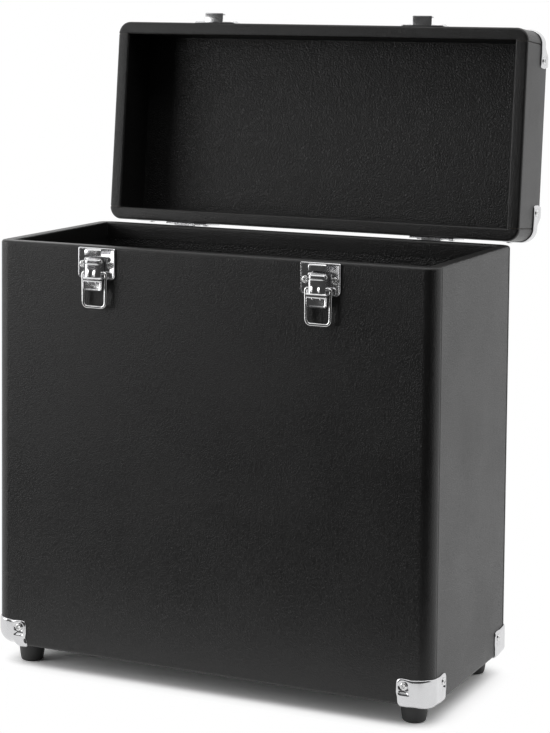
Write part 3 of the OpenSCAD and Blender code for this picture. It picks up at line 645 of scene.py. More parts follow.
def covering_parts(run, foot, head, flip):
    """Points and faces of one covering piece: each profile is laid along the inward normal at its point of
    the run, and the inner face lies a sheet behind. flip turns the heights over, for the lid."""
    points, normals, dips, radii = run
    outer = np.stack([wall_profile(foot, head, r) for r in radii])
    inner = np.stack([p + sheet_t * profile_normals(p) for p in outer])
    grids = []
    for profiles in (outer, inner):
        inset, height = profiles[..., 0] + dips[:, None], profiles[..., 1:]
        xy = points[:, None, :] - normals[:, None, :] * inset[..., None]
        grids.append(np.concatenate([xy, flip - height if flip else height], -1))
    return sheet_parts(*grids)


def cover(body, foot, head, first_ball, ball, flip=None):
    """The four coverings of a box. first_ball is the ball radius at its front left corner."""
    for make, walls in ((wrap_run, ENDS), (side_run, SIDES)):
        for label, sign in walls:
            balls = (first_ball if label in ("front", "left") else ball, ball)
            name = body + "_" + label
            parts = covering_parts(make(balls, sign), foot, head, flip)
            place_piece(name + "_cloth", parts, body, "covering", name + "_covering")

cover("body", floor_z, rim_z, ROUND, TIGHT)
print("body coverings:", {k: v for k, v in made_pieces.items() if "cloth" in k})

# %% [markdown]
# ## The coverings of the lid
# The lid is made the same way, upside down: its rim is at the bottom when it is shut. The pieces are made on
# the shut lid and then turned about the hinge pin, so they fit whatever the angle is.

# %% Cover the lid
cover("lid", 0.0, lid_top_z - lid_rim_z, ROUND, ROUND, flip=lid_top_z)
print("all coverings:", sum(name.endswith("cloth") for name in made_pieces))

# %% Lay the floor and top sheets
def round_outline(x0, x1, y0, y1, radii, steps=7):
    """Points and outward normals round a rectangle. The four radii go right top, left top, left bottom,
    right bottom."""
    corners = [(x1, y1, 0, -1, -1), (x0, y1, 90, 1, -1), (x0, y0, 180, 1, 1), (x1, y0, 270, -1, 1)]
    points, normals = [], []
    for (x, y, start, sx, sy), r in zip(corners, radii):
        n = arc(0.0, 0.0, 1.0, start, start + 90, steps)
        points.append(np.array([x + sx * r, y + sy * r]) + r * n)
        normals.append(n)
    return np.concatenate(points), np.concatenate(normals)


def edged_plate(outline, profile):
    """A closed plate: the outline drawn in by each inset of the profile, at each height of the profile."""
    points, normals = outline
    full = np.ones(len(points))
    rings = [np.column_stack([points - normals * inset, full * height]) for inset, height in profile]
    return ring_stack(rings)


half_w, half_d = case_w / 2 - 6, case_d / 2 - 6
outline = round_outline(-half_w, half_w, -half_d, half_d, (14.0,) * 4, 12)
soft_edge = [(1.2, 0.9), (0.25, 0.9), (0.0, 0.6), (0.0, -0.05), (0.12, -0.2), (0.5, -0.3), (1.2, -0.33)]
for name, solid, body, level, up in (("floor_cloth", "body_floor_covering", "body", floor_z, 1),
                                     ("top_cloth", "lid_top_covering", "lid", lid_top_z, -1)):
    parts = edged_plate(outline, [(inset, level + up * height) for inset, height in soft_edge])
    place_piece(name, parts, body, "covering", solid)
print("pieces so far:", len(made_pieces))

# %% [markdown]
# ## The corner guards
# A guard is pressed from one round of thin steel and then plated. The press folds it over three faces of the
# corner and stretches it to a ball at the tip. The screw ears are struck a little below the face, and the
# sheet is lanced under each screw, so a dark slit shows there.
# Seen along the diagonal of the corner, the guard is a bowl. So it is worked out as a height over the plane
# across that diagonal, on rays from the tip out to the outline of the blank.

# %% Work out a pressed guard
# Reach of a guard along the front and along the side, and its height on the body and on the lid.
GUARD_W, GUARD_D, BODY_GUARD_H, LID_GUARD_H = 25.0, 27.5, 20.5, 18.0
# Radius of a screw ear, how far its top stays below the guard's, and its screw's place below that.
EAR_R, EAR_DROP, EAR_SEAT = 5.2, 1.8, 4.4
# The diagonal of a corner, pointing into the case.
DIAGONAL = np.ones(3) / math.sqrt(3)


def within(amount, edge, sharp):
    """Nearly 1 below the edge and nearly 0 past it: one over one plus the exponential of how far past."""
    return 1 / (1 + np.exp((amount - edge) * sharp))


def outside_by(place, ball):
    """How far a place lies outside the corner. In plan the inset from the walls is the upright radius less
    the length of (radius minus place, not below zero). The lower edge is rounded the same way between that
    inset and the height."""
    lower = np.minimum(lower_radius(place[..., 0], ball), lower_radius(place[..., 1], ball))
    inset = edge_r - np.linalg.norm(np.maximum(edge_r - place[..., :2], 0), axis=-1)
    return np.hypot(np.maximum(lower - inset, 0), np.maximum(lower - place[..., 2], 0)) - lower


def place_on(flat, ball, offset, halvings=40):
    """Points of the corner, pushed out by offset, that lie on the diagonals through the flat points.
    Halving finds how far to go."""
    near, far = np.full(flat.shape[:-1], -40.0), np.full(flat.shape[:-1], 60.0)
    for _ in range(halvings):
        mid = (near + far) / 2
        outside = outside_by(flat + mid[..., None] * DIAGONAL, ball) > offset
        near, far = np.where(outside, mid, near), np.where(outside, far, mid)
    return flat + ((near + far) / 2)[..., None] * DIAGONAL


def settled(points, ball, offset, rounds=5, step=0.01, least_slope=0.05):
    """Points moved straight down the slope of outside_by until they lie outside by offset."""
    for _ in range(rounds):
        rises = [outside_by(points + d, ball) - outside_by(points - d, ball) for d in np.eye(3) * step]
        slope = np.stack(rises, -1) / (2 * step)
        miss = outside_by(points, ball) - offset
        points = points - (miss / np.maximum((slope ** 2).sum(-1), least_slope))[:, None] * slope
    return points


def rounded_line(corners, radii, spacing=0.6):
    """A closed outline through corners on the three faces, each corner cut by a curve of two blended
    straights, about evenly spaced."""
    before, after = np.roll(corners, 1, 0) - corners, np.roll(corners, -1, 0) - corners
    lb, la = np.linalg.norm(before, axis=1), np.linalg.norm(after, axis=1)
    cut = np.minimum(radii, 0.49 * np.minimum(lb, la))
    a = corners + before * (cut / lb)[:, None]
    b = corners + after * (cut / la)[:, None]
    t = np.linspace(0, 1, 9)[None, :, None]
    curve = (1 - t) ** 2 * a[:, None] + 2 * t * (1 - t) * corners[:, None] + t ** 2 * b[:, None]
    line = curve.reshape(-1, 3)
    line = np.concatenate([line, line[:1]])
    length = np.concatenate([[0], np.cumsum(np.linalg.norm(np.diff(line, axis=0), axis=1))])
    marks = np.arange(0, length[-1], spacing)
    return np.stack([np.interp(marks, length, line[:, k]) for k in range(3)], -1)


def lobe_outline(reach, height, ear, side, flare=-0.8):
    """Corners and curve lengths, as (x, y, z, length), of one lobe on a wall, from the upright edge to the
    lower edge. Side 0 is the front, 1 the side. Flare is how far its end runs out at the lower edge."""
    top = height - EAR_DROP
    lobe = [
        (0.0, height - 0.7, 2.0), (7.0, height - 1.1, 5.0), (reach - 2.1 * ear, top - 0.4, 3.0),
        (reach - 1.5 * ear, top, 3.0), (reach - 0.2, top, 4.8), (reach + 0.1, top - 2 * ear, 4.0),
        (reach - 0.7, 7.0, 4.0), (reach + flare, 0.8, 4.0),
    ]
    return [(0.0, x, z, r) if side else (x, 0.0, z, r) for x, z, r in lobe]


def guard_outline(w, d, height, lip, ear, top_lobe, flare):
    """The whole outline of a guard's blank folded on the three faces: front lobe, then under or top lobe,
    then side lobe back to the upright edge."""
    far = d - EAR_DROP
    if top_lobe:
        third = [(w - 1.6, 4.0, 0.0, 4.0), (w, far - 2 * ear, 0.0, 4.0), (w, far, 0.0, 4.6),
                 (w - 2 * ear, far, 0.0, 4.0), (4.0, d - 1.6, 0.0, 4.0)]
    else:
        third = [(w - 3.6, lip, 0.0, 4.0), (lip + 3.0, lip, 0.0, 5.0), (lip, lip + 3.0, 0.0, 5.0),
                 (lip, d - 3.6, 0.0, 4.0)]
    side = lobe_outline(d, height, ear, 1)
    loop = np.array(lobe_outline(w, height, ear, 0, flare) + third + side[:0:-1])
    return rounded_line(loop[:, :3], loop[:, 3])


def guard_screws(height, top_lobe, sink):
    """Seats of a guard's screws in the corner's own frame, that far outside its faces, with the way out of
    the face and the way to the slit."""
    level = height - EAR_DROP - EAR_SEAT
    seats = [((GUARD_W - EAR_R, -sink, level), (0, -1, 0), (0.0, 0.0, -1.0)),
             ((-sink, GUARD_D - EAR_R, level), (-1, 0, 0), (0.0, 0.0, -1.0))]
    if top_lobe:
        seats.append(((GUARD_W - EAR_R, GUARD_D - EAR_DROP - EAR_SEAT, -sink), (0, 0, -1), (-0.7, -0.7, 0.0)))
    return seats


def guard_parts(height, top_lobe, flare, ball, lip=8.0, sheet=1.2, around=300):
    """Points and faces of a guard in the corner's own frame, with the case in the positive octant. Rays
    leave the tip to the outline, and rings run out over the outer face, round the edge and back under the
    inner face. The first and last rings close on one point each, and these two points come last."""
    edge_roll, skin = 0.75, 0.02
    dent_depth, dent_r, slit_below, slit_half, slit_reach, slit_depth = 0.45, 3.7, 4.9, 0.95, 3.3, 0.8
    u = np.array([1.0, -1.0, 0.0]) / math.sqrt(2)
    v = np.cross(DIAGONAL, u)
    grown = [size + sheet for size in (GUARD_W, GUARD_D, height, lip)]
    outline = settled(guard_outline(*grown, EAR_R, top_lobe, flare) - sheet, ball, sheet)
    flat = outline - (outline @ DIAGONAL)[:, None] * DIAGONAL
    angle = np.unwrap(np.arctan2(flat @ v, flat @ u))
    if angle[-1] < angle[0]:
        angle, flat = angle[::-1], flat[::-1]
    reach = np.linalg.norm(flat, axis=1)
    turn = angle[0] + np.linspace(0, 2 * math.pi, around, endpoint=False)
    reach = np.interp(turn, np.append(angle, angle[0] + 2 * math.pi), np.append(reach, reach[0]))
    edge = reach[None] - edge_roll
    ray = np.cos(turn)[:, None] * u + np.sin(turn)[:, None] * v
    ease = np.linspace(0, 1, 48)[1:, None] ** 0.85
    bend = np.radians(np.linspace(75, -75, 6))
    rho = np.concatenate([ease * edge, edge + edge_roll * np.cos(bend)[:, None], ease[::-1] * edge])
    lift = np.concatenate([np.full(len(ease), sheet), sheet / 2 * (1 + np.sin(bend)), np.zeros(len(ease))])
    spots = rho[..., None] * ray[None]
    lifts = np.repeat(lift[:, None], around, 1)
    plain = place_on(spots, ball, lifts)
    dent, slit = np.zeros(rho.shape), np.zeros(rho.shape)
    for seat, _, below in guard_screws(height, top_lobe, sheet):
        seat, below = np.array(seat), np.array(below)
        dent -= dent_depth * within(np.linalg.norm(plain - seat, axis=-1), dent_r, 3)
        step = plain - (seat + slit_below * below)
        drop = step @ below
        along = np.linalg.norm(step - drop[..., None] * below, axis=-1)
        slit = np.maximum(slit, within(np.abs(drop), slit_half, 9) * within(along, slit_reach, 5))
    level = np.maximum(lifts + dent * np.where(lifts < 0.01, 0.1, 1.0), skin)
    level = level * (1 - slit) + (lifts - sheet - slit_depth) * slit
    grid = place_on(spots, ball, level)
    tips = [place_on(np.zeros((1, 3)), ball, np.array([offset])) for offset in (sheet, skin)]
    rows, count = len(grid), len(grid) * around
    j = np.arange(around)
    k = (j + 1) % around
    start = np.stack([np.full(around, count), k, j], -1)
    stop = np.stack([np.full(around, count + 1), count - around + j, count - around + k], -1)
    return np.concatenate([grid.reshape(-1, 3), *tips]), [grid_faces(rows, around, True), start, stop]


def at_corner(points, x, y, corner_z, up):
    """Points of a corner's own frame, mirrored to corner x, y and set at the height of the corner."""
    half = np.array([case_w, case_d]) / 2
    return np.column_stack([(half - points[:, :2]) * (x, y), corner_z + up * points[:, 2]])


flared_guard = guard_parts(BODY_GUARD_H, False, 2.2, ROUND)
body_guard = guard_parts(BODY_GUARD_H, False, -1.2, TIGHT)
lid_guard = guard_parts(LID_GUARD_H, True, -0.8, ROUND)
for side, x in SIDES:
    for end, y in ENDS:
        corner = end + "_" + side
        low_guard = flared_guard if corner == "front_left" else body_guard
        for body, guard, level, up in (("body", low_guard, floor_z, 1), ("lid", lid_guard, lid_top_z, -1)):
            parts = at_corner(guard[0], x, y, level, up), guard[1]
            solid = body + "_corner_" + corner
            place_piece(body + "_guard_" + corner, parts, body, "corner_plate", solid, 50)
print("guards of", len(body_guard[1][0]), "faces each")

# %% [markdown]
# ## Stamped plates
# Latch plates, catches and brackets are stamped from sheet. The stamp rounds their edges and leaves a narrow
# raised border that stiffens them and catches the light. So one outline is drawn in ring by ring while its
# height follows the border's profile, and the last ring is the flat field. Hinge leaves have plain edges.

# %% Helpers for hardware
def stamped_profile(t, border=0.35, lead=1.9):
    """Insets and heights of a stamped edge t thick: a rounded outer edge, a raised border and the flat
    field inside it."""
    return [(0.35, 0.0), (0.0, 0.3), (0.0, t - 0.35), (0.12, t - 0.1), (0.4, t + border * 0.8),
            (0.8, t + border), (1.2, t + border * 0.75), (lead - 0.2, t - 0.02), (lead, t - 0.05)]


def plain_profile(t, soft):
    """Insets and heights of a plain sheet t thick with softened edges."""
    return [(soft, 0.0), (0.0, soft), (0.0, t - soft), (soft * 0.3, t - soft * 0.3), (soft, t)]


def in_frame(parts, origin, across, up, out):
    """Parts whose points are given as (across, up, out), set into the case at an origin."""
    points, faces = parts
    axes = [points[..., k:k + 1] * np.array(axis, float) for k, axis in enumerate((across, up, out))]
    return np.array(origin, float) + axes[0] + axes[1] + axes[2], faces


def on_front(parts, x):
    """Parts of a latch set on the front of the case: up is counted from the top of the latch's plate."""
    return in_frame(parts, (x, front_y, plate_top), (1, 0, 0), (0, 0, 1), (0, -1, 0))


def side_section(outline, places):
    """Rings of one outline given as (out, up), across at each of the places."""
    return [np.column_stack([np.full(len(outline), x), outline[:, 1], outline[:, 0]]) for x in places]


def tube_parts(path, radius, flat, sides=16, blunt=0.35):
    """A round bar along a path that lies in a plane whose normal is flat. Rings stand square to the path,
    and the ends are blunted."""
    path = np.asarray(path, float)
    along = np.gradient(path, axis=0)
    along /= np.linalg.norm(along, axis=1, keepdims=True)
    flat = np.array(flat, float)
    beside = np.cross(along, flat)
    a = np.linspace(0, 2 * math.pi, sides, endpoint=False)
    r = np.broadcast_to(np.asarray(radius, float), len(path))
    ends = path[:1] + along[:1] * blunt, path[-1:] - along[-1:] * blunt
    path = np.concatenate([path[:1], ends[0], path[1:-1], ends[1], path[-1:]])
    beside = np.concatenate([beside[:1], beside, beside[-1:]])
    r = np.concatenate([r[:1] - blunt, r, r[-1:] - blunt])
    circle = np.cos(a)[None, :, None] * flat + np.sin(a)[None, :, None] * beside[:, None]
    return ring_stack(path[:, None] + r[:, None, None] * circle)


def lathe_parts(profile, origin, axis, sides):
    """A turned part: the profile of (radius, height) swung round an axis at an origin. Its first and last
    radius may be nearly nothing."""
    axis = np.array(axis, float)
    side = unit(np.cross(axis, [1.0, 0, 0] if abs(axis[0]) < 0.9 else [0, 1.0, 0]))
    a = np.linspace(0, 2 * math.pi, sides, endpoint=False)
    circle = np.cos(a)[:, None] * side + np.sin(a)[:, None] * np.cross(axis, side)
    radius, height = np.asarray(profile, float).T[..., None, None]
    return ring_stack(np.array(origin, float) + radius * circle + height * axis)

# %% [markdown]
# ## Screws
# Small pan-head screws with a cross recess hold every fitting. Their heads are domed, and the driver's cross
# is cut with sloping walls. The head is a dome over a round grid, and the cross is taken away from its height
# by a soft step on the distance from the cross's two arms.

# %% Make the screw heads
def screw_parts(seat, out, turn, radius=2.65, height=1.4, arm_half=0.52, arm_reach=1.6, arm_depth=1.0):
    """One head on a seat, facing out. Height is a flattened dome, less the cross: where one way is nearer
    than half an arm's width and the other nearer than its reach."""
    out = unit(np.array(out, float))
    side = unit(np.cross(out, [0.0, 0.31, 0.95] if abs(out[2]) < 0.9 else [1.0, 0.0, 0.0]))
    a = np.linspace(0, 2 * math.pi, 56, endpoint=False)
    rho = np.concatenate([[1.0, 1.0], np.linspace(0.985, 0.02, 19)])[:, None] * radius
    level = height * (0.42 + 0.58 * np.sqrt(np.clip(1 - (rho / radius) ** 2.6, 0, 1)))
    level[:2, 0] = 0.0, height * 0.36
    x, y = np.abs(rho * np.cos(a + turn)), np.abs(rho * np.sin(a + turn))
    arms = [within(p, arm_half, 14) * within(q, arm_reach, 9) for p, q in ((x, y), (y, x))]
    z = level - arm_depth * np.maximum(*arms) * (rho < 0.95 * radius)
    u, v = rho * np.cos(a), rho * np.sin(a)
    return ring_stack(seat + u[..., None] * side + v[..., None] * np.cross(out, side) + z[..., None] * out)


def corner_seats(height, up, corner_z, top_lobe):
    """Seats and directions of the screws of four guards, each as (place, out)."""
    seats = []
    for _, x in SIDES:
        for _, y in ENDS:
            for place, out, _ in guard_screws(height, top_lobe, 0.75):
                spot = at_corner(np.array([place]), x, y, corner_z, up)[0]
                seats.append((spot, (-x * out[0], -y * out[1], up * out[2])))
    return seats

# Past the guards, a latch plate has two screws, a catch two, a hinge leaf three and a bracket two.
body_seats = corner_seats(BODY_GUARD_H, 1, floor_z, False)
lid_seats = corner_seats(LID_GUARD_H, -1, lid_top_z, True)
for seats, apart, level in ((body_seats, 11.25, plate_top - 12.2), (lid_seats, 13.3, plate_top + 14.0)):
    for x in (-latch_x, latch_x):
        seats += [((x + s * apart, front_y - 1.1, level), (0, -1, 0)) for s in (-1, 1)]
for seats, level, up in ((body_seats, hinge_z, -1), (lid_seats, hinge_z + hinge_drop, 1)):
    for x in (-hinge_x, hinge_x):
        for dx, dz in ((-13, 12), (13, 12), (0, 24)):
            seats.append(((x + dx, back_y + 1.25, level + up * dz), (0, 1, 0)))
for x in (-bracket_x, bracket_x):
    lid_seats += [((x + s * 11.0, 0.0, lid_top_z + 1.1), (0, 0, 1)) for s in (-1, 1)]
turns = np.random.default_rng(7).uniform(0, math.pi / 2, 80)
for body, seats, first in (("body", body_seats, 0), ("lid", lid_seats, 40)):
    heads = merged([screw_parts(place, out, turns[first + i]) for i, (place, out) in enumerate(seats)])
    place_piece(body + "_screw_heads", heads, body, "screw_steel", body + "_screws", 40)
print(len(body_seats), "screws on the body,", len(lid_seats), "on the lid")

# %% [markdown]
# ## The latches
# Each latch has a base plate with a raised bridge, a lever that swings on a pin, and a wire bail that hangs
# from the lever. To shut the case, the bail is hooked over the catch on the lid, and the lever is pressed
# down to draw it tight. The lever's face carries two pressed dimples, a rolled stiffener and a finger tab.

# %% Press the base plates
# The lever's pin, out from the front of the case and up from the top of the plate.
PIN_OUT, PIN_UP = 4.6, -9.5


def latch_plate_parts(ear_x=4.85, ear_half=0.45):
    """The plate with its raised border, a bridge folded out over the lever's head, and the two ears that
    hold the pin."""
    outline = round_outline(-15.25, 15.25, -23.0, 0.0, (1.0, 1.0, 3.4, 3.4))
    parts = [edged_plate(outline, stamped_profile(1.2, 0.3, 1.5))]
    fold = np.concatenate([[[0.6, -0.35]], arc(5.7, -1.85, 1.5, 90, 0, 8), [[7.2, -3.4], [7.05, -5.0]]])
    under = np.concatenate([[[0.6, -1.35]], arc(5.7, -1.85, 0.5, 90, 0, 8), [[6.2, -3.4], [6.05, -5.0]]])
    across = np.array([-6.6, -6.45, -6.0, -3.0, 0.0, 3.0, 6.0, 6.45, 6.6])
    drawn = np.array([0.35, 0.1, 0, 0, 0, 0, 0, 0.1, 0.35])[:, None]
    sheets = []
    for (out, up), back in ((fold.T, drawn), (under.T, 0 * drawn)):
        sheets.append(np.stack([across[:, None] + 0 * out, up - 0.6 * back, out - back * (out > 5)], -1))
    parts.append(sheet_parts(*sheets))
    strap = [[2.9, -10.3], [0.8, -11.0], [0.8, -12.6]]
    ear = np.concatenate([arc(PIN_OUT, PIN_UP, 2.0, -115, 170, 25), strap])
    parts += [ring_stack(side_section(ear, (s * ear_x - ear_half, s * ear_x + ear_half))) for s in (-1, 1)]
    return merged(parts)

LATCHES = (("left", -latch_x), ("right", latch_x))
for side, x in LATCHES:
    parts = on_front(latch_plate_parts(), x)
    place_piece(side + "_latch_base", parts, "body", "latch_plate", side + "_latch_plate", 40)

# %% Fold the levers
def lever_parts(half=6.8, face_out=7.7, gauge=0.8):
    """The face is a sheet bent back at both sides, with two dimples pushed out and two lines pressed in. Its
    two walls turn on the pin. A rolled bar, two ribs and a bordered tab finish its foot."""
    up = np.linspace(-6.4, -21.5, 60)[:, None]
    across = half * np.sin(np.clip(np.linspace(-1, 1, 45) * 1.06, -1, 1) * math.pi / 2)[None]
    head = 4.6 + np.sqrt(np.clip(3.1 ** 2 - (up - PIN_UP) ** 2, 0.2, None))
    face = np.where(up > PIN_UP, head, face_out) - 1.5 * (np.abs(across) / half) ** 9
    for side in (-1, 1):
        face += 0.75 * np.exp(-((across - side * 2.75) / 1.15) ** 2 - ((up + 18.2) / 1.7) ** 2)
    for line in (7.9, 11.2):
        face -= 0.35 * np.exp(-((up + line) / 0.4) ** 2)
    grid = np.stack(np.broadcast_arrays(across, up, face), -1)
    behind = np.stack(np.broadcast_arrays(across * 0.9, up, np.minimum(face - gauge, 6.9)), -1)
    parts = [sheet_parts(grid, behind)]
    foot = [[1.55, -12.0], [1.55, -21.2], [2.4, -22.1], [5.8, -22.1], [6.6, -21.0], [7.0, -12.0]]
    wall = np.concatenate([arc(PIN_OUT, PIN_UP, 3.05, 20, 200, 19), foot])
    for side in (-1, 1):
        parts.append(ring_stack(side_section(wall, [side * w for w in (5.95, 6.0, 6.7, 6.78)])))
    bar = np.linspace([-7.6, -22.6, 6.5], [7.6, -22.6, 6.5], 9)
    parts.append(tube_parts(bar, 2.0, (0, 1, 0), 24, 0.6))
    for x in (-3.1, 3.1):
        rib = np.linspace([x, -22.0, 7.2], [x, -25.4, 7.2], 5)
        parts.append(tube_parts(rib, 0.75, (1, 0, 0), 12, 0.4))
    outline = round_outline(-7.95, 7.95, -31.1, -22.4, (2.0, 2.0, 2.7, 2.7))
    points, faces = edged_plate(outline, stamped_profile(1.0, 0.4, 1.9))
    return merged(parts + [(points + (0, 0, 6.3), faces)])

for side, x in LATCHES:
    parts = on_front(lever_parts(), x)
    place_piece(side + "_lever", parts, side + "_lever", "latch_plate", side + "_latch_lever", 40)

# %% Bend the bails
def bail_parts(half=9.5, drop=25.0, bend=3.5, tuck=5.9, top=-18.0, out=4.2, small=1.2, taper=0.45):
    """A wire bent in from one wall of the lever, out and down, across and up again. Corners are quarter
    circles, and the two sides draw in a little going down."""
    low = top - drop
    part = np.concatenate([
        [[-tuck, top], [-half + small + 0.4, top]],
        arc(-half + small, top - small, small, 90, 180, 7),
        np.linspace([-half, top - small - 0.6], [-half, low + bend + 0.6], 8),
        arc(-half + bend, low + bend, bend, 180, 270, 10),
    ])
    line = np.concatenate([part, np.linspace([-4.8, low], [4.8, low], 7), part[::-1] * (-1, 1)])
    line[:, 0] *= 1 - taper / half * (top - line[:, 1]) / drop
    return tube_parts(np.column_stack([line, np.full(len(line), out)]), 1.2, (0, 0, 1), 20, 0.2)

for side, x in LATCHES:
    parts = on_front(bail_parts(), x)
    place_piece(side + "_bail_wire", parts, side + "_bail", "bail_wire", side + "_bail", 60)

# %% Form the catches
def catch_parts():
    """A bordered flange on the lid's front, and a hook folded out of it: a seat under the bail and a lip
    that keeps the bail in, with a rib across it."""
    seat = [(0.3, 0.4), (0.0, 0.6), (0.0, 7.4), (0.1, 7.8), (0.4, 8.0)]
    lip = [(0.4, 6.7), (0.1, 6.85), (0.0, 7.1), (0.0, 7.6), (0.12, 7.88), (0.4, 8.0)]
    rib = np.linspace([-5.6, 7.0, 7.75], [5.6, 7.0, 7.75], 7)
    return merged([
        edged_plate(round_outline(-17.5, 17.5, 3.0, 19.0, (3.4, 3.4, 2.0, 2.0)), stamped_profile(1.1, 0.25)),
        edged_plate(round_outline(-7.9, 7.9, 3.0, 5.65, (2.5, 2.5, 0.5, 0.5)), seat),
        edged_plate(round_outline(-7.9, 7.9, 3.0, 9.2, (2.2, 2.2, 0.6, 0.6)), lip),
        tube_parts(rib, 0.55, (0, 1, 0), 12, 0.3),
    ])

for side, x in LATCHES:
    parts = on_front(catch_parts(), x)
    place_piece(side + "_hook", parts, "lid", "latch_plate", side + "_catch", 40)
print("latches and catches:", [k for k in made_pieces if k.endswith(("lever", "wire", "base", "hook"))])

# %% [markdown]
# ## Pins, hinges and the handle
# Every pin is a headed rivet, closed over by a punch, so both heads are low domes. A hinge leaf is a plate
# whose end is curled round the pin: the body's leaf keeps the two outer curls and the lid's leaf the middle
# one. The handle is moulded in one piece, with a round grip that eases into two slimmer arms, and each arm
# turns on a pin between the ears of a folded bracket.

# %% Rivet the pins
# Height of the handle's pins above the lid.
HANDLE_UP = 8.5


def pin_parts(place, half, radius, head_r, head_h):
    """A pin across the case, from one domed head over the shank to the other head."""
    dome = [(0.05, head_h), (0.5 * head_r, 0.94 * head_h), (0.85 * head_r, 0.6 * head_h),
            (head_r, 0.15 * head_h), (0.97 * head_r, 0.0), (radius, 0.0)]
    profile = [(r, -half - h) for r, h in dome] + [(r, half + h) for r, h in dome[::-1]]
    return lathe_parts(profile, place, (1, 0, 0), 28)

for name, body, (x, y, z), sizes in (
    ("lever", "body", (latch_x, front_y - PIN_OUT, plate_top + PIN_UP), (6.9, 1.2, 1.8, 0.5)),
    ("hinge", "body", (hinge_x, hinge_y, hinge_z), (18.1, 1.5, 2.3, 0.8)),
    ("handle", "lid", (bracket_x, 0.0, lid_top_z + HANDLE_UP), (5.8, 1.6, 2.4, 0.8)),
):
    parts = merged([pin_parts((s * x, y, z), *sizes) for s in (-1, 1)])
    place_piece(name + "_rivets", parts, body, "screw_steel", name + "_pins", 40)

# %% Curl the hinge leaves
# Half the width of a leaf and of its middle knuckle, the width of an outer knuckle, and their radius.
LEAF_HALF, MIDDLE_HALF, OUTER_W, KNUCKLE_R = 18.0, 7.92, 9.83, 3.0


def bar_across(outline, x0, x1, soft=0.22):
    """A bar across the case with the outline (up, out) for its section, drawn in a little at both ends."""
    outline = np.asarray(outline, float)
    middle = outline.mean(0)
    small = middle + (outline - middle) * (1 - 2 * soft / np.ptp(outline, axis=0))
    stations = ((x0, small), (x0 + soft, outline), (x1 - soft, outline), (x1, small))
    return ring_stack([np.column_stack([np.full(len(outline), x), section]) for x, section in stations])


def curl_parts(x0, x1, soft=0.3):
    """One knuckle, a short tube round the pin with softened ends."""
    end = [(1.56, 0.1), (1.8, 0.0), (KNUCKLE_R - soft, 0.0), (KNUCKLE_R, soft)]
    profile = [(r, x0 + d) for r, d in end] + [(r, x1 - d) for r, d in end[::-1]]
    return lathe_parts(profile, (0, 0, 0), (1, 0, 0), 36)


def web_line(low, high, near, far, soft=0.3):
    """A small rounded rectangle as a section: up from low to high, out from near to far."""
    return round_outline(low, high, near, far, (soft,) * 4, 3)[0]


def leaf_plate(low, high, radii):
    """A leaf's plate against the back of the case, from low to high, counted from the pin."""
    outline = round_outline(-LEAF_HALF, LEAF_HALF, low, high, radii)
    points, faces = edged_plate(outline, plain_profile(1.3, 0.35))
    return points - (0, 0, hinge_out), faces


def body_leaf_parts():
    """The leaf on the body's back: plate, the two webs under the knuckles and the two outer knuckles."""
    parts = [leaf_plate(-29.0, 3.3, (0.6, 0.6, 3.0, 3.0))]
    web = web_line(-4.8, -2.2, -5.2, 0.0, 0.6)
    for x0 in (-LEAF_HALF, LEAF_HALF - OUTER_W):
        parts += [curl_parts(x0, x0 + OUTER_W), bar_across(web, x0, x0 + OUTER_W)]
    return merged(parts)


def lid_leaf_parts(lug_half=1.2, lug_reach=3.75):
    """The leaf on the lid's back: plate, middle knuckle, the sheet that steps out to the pin, and the lug
    that stops the lid. The lug is turned so that it meets the body's leaf when the lid is open."""
    c, s = math.cos(lid_open), math.sin(lid_open)
    up, out = web_line(-lug_half, lug_half, -lug_reach, 0.0).T
    webs = [web_line(5.5, 7.3, -5.2, -1.2, 0.5), web_line(0.2, 7.3, -3.0, -1.2, 0.5),
            np.column_stack([out * s + up * c, out * c - up * s])]
    parts = [leaf_plate(5.5, 32.9, (3.0, 3.0, 0.6, 0.6)), curl_parts(-MIDDLE_HALF, MIDDLE_HALF)]
    return merged(parts + [bar_across(web, -MIDDLE_HALF, MIDDLE_HALF) for web in webs])

for side, s in SIDES:
    for body, parts in (("body", body_leaf_parts()), ("lid", lid_leaf_parts())):
        parts = in_frame(parts, (s * hinge_x, hinge_y, hinge_z), (1, 0, 0), (0, 0, 1), (0, 1, 0))
        name = side + "_" + body
        place_piece(name + "_leaf", parts, body, "hinge_steel", name + "_hinge_leaf", 40)

# %% Fold the handle brackets
def bracket_parts():
    """A stamped base with two ears folded up from it. Each ear is a straight strip with a round head at the
    height of the pin."""
    base = edged_plate(round_outline(-15, 15, -10, 10, (3.0,) * 4), stamped_profile(1.2, 0.15, 1.4))
    foot = [[-4.0, 2.4], [-4.7, 0.9], [-4.7, 0.4], [4.7, 0.4], [4.7, 0.9], [4.0, 2.4]]
    ear = np.concatenate([arc(0.0, HANDLE_UP, 4.0, 0, 180, 17), foot])
    return merged([base] + [bar_across(ear, x - 0.7, x + 0.7) for x in (-5.0, 5.0)])

for side, s in SIDES:
    parts = in_frame(bracket_parts(), (s * bracket_x, 0, lid_top_z), (1, 0, 0), (0, 1, 0), (0, 0, 1))
    place_piece(side + "_bracket", parts, "lid", "latch_plate", side + "_handle_bracket", 40)

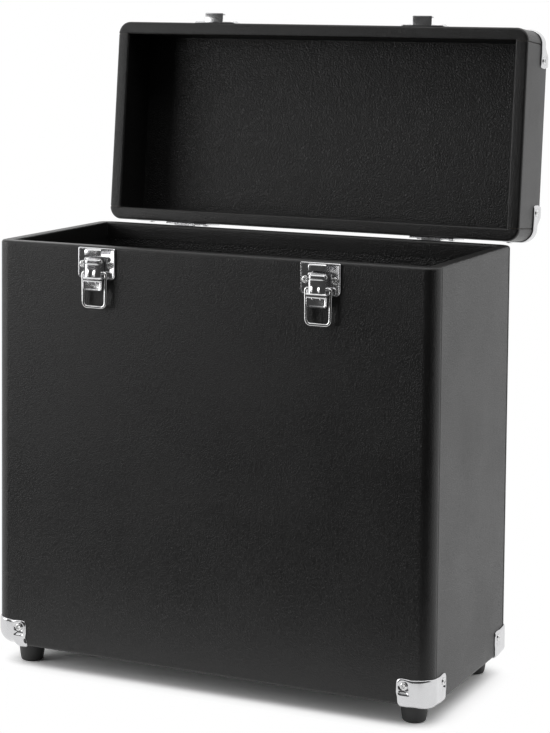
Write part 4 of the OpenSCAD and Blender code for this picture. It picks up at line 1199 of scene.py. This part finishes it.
# %% Mould the handle
def handle_parts(arm=bracket_x, reach=34.0, bend=9.0, arm_r=4.0, bend_r=4.3, swell=1.7):
    """One tube along a U: a ball round each pin, a slim arm, a quarter turn that swells, and the grip. Five
    low rings stand up under the fingers."""
    back = np.array([-3.9, -3.5, -2.7, -1.5, 0.0, 3.0, 8.0, 14.0, 19.0, 22.5])
    ball = np.sqrt(np.clip(arm_r ** 2 - back ** 2, 0.8, None))
    slim = np.where(back < 0, ball, arm_r + 0.3 * np.clip(back / 22.5, 0, 1) ** 2)
    turn_r = bend_r + swell * np.linspace(0, 1, 12) ** 1.3
    x = np.linspace(-arm + bend + 1.2, arm - bend - 1.2, 109)
    grip_r = 6.15 + 0.25 * np.cos(x / (arm - bend) * math.pi / 2)
    grip_r += 0.22 * np.exp(-(((x + 12) % 24 - 12) / 1.4) ** 2) * (np.abs(x) < 50)
    turn = arc(-arm + bend, reach - bend, bend, 180, 90, 12)
    half = np.concatenate([np.column_stack([np.full(len(back), -arm), back]), turn])
    path = np.concatenate([half, np.column_stack([x, np.full(len(x), reach)]), half[::-1] * (-1, 1)])
    radius = np.concatenate([slim, turn_r, grip_r, turn_r[::-1], slim[::-1]])
    return tube_parts(np.column_stack([path, np.zeros(len(path))]), radius, (0, 0, 1), 40, 0.2)

# The open lid leans back by this tilt, and the handle hangs straight down beside it.
tilt = lid_open - math.pi / 2
c, s = math.cos(tilt), math.sin(tilt)
parts = in_frame(handle_parts(), (0, 0, lid_top_z + HANDLE_UP), (1, 0, 0), (0, c, s), (0, -s, c))
place_piece("moulded_handle", parts, "handle", "handle_plastic", "handle", 60)
print("pins:", [name for name in made_pieces if name.endswith("rivets")])

# %% [markdown]
# ## The feet
# Four moulded rubber feet are held by a screw up through the middle. A foot tapers to the ground, its lower
# edge is rounded, and it has a recess round the screw. It is turned from one profile.

# %% Turn the feet
def foot_parts(x, y, tip_r=8.5, top_r=10.3, round_r=1.8):
    """The profile goes from the recess up its wall, round the tip, up the taper and over the top."""
    tip = arc(tip_r - round_r, round_r, round_r, -90, -10, 8)
    top = floor_z - 0.05
    profile = [(0.05, 6.4), (3.2, 6.4), (3.5, 6.1), (3.5, 0.5), (3.9, 0.05), (tip_r - 2.4, 0.0), *tip,
               (tip_r + 0.6, 5.0), (top_r - 0.35, top - 2.2), (top_r - 0.05, top - 1.4), (top_r, top - 0.6),
               (top_r - 0.3, top), (0.05, top)]
    return lathe_parts(profile, (x, y, 0.0), (0, 0, 1), 56)

# How far a foot's middle lies in from the walls.
foot_in = 19.5
for end, y in ENDS:
    for side, x in SIDES:
        name = "foot_" + end + "_" + side
        parts = foot_parts(x * (case_w / 2 - foot_in), y * (case_d / 2 - foot_in))
        place_piece("rubber_" + name, parts, "body", "foot_rubber", name, 50)
print("feet:", sum("rubber_foot" in k for k in made_pieces))
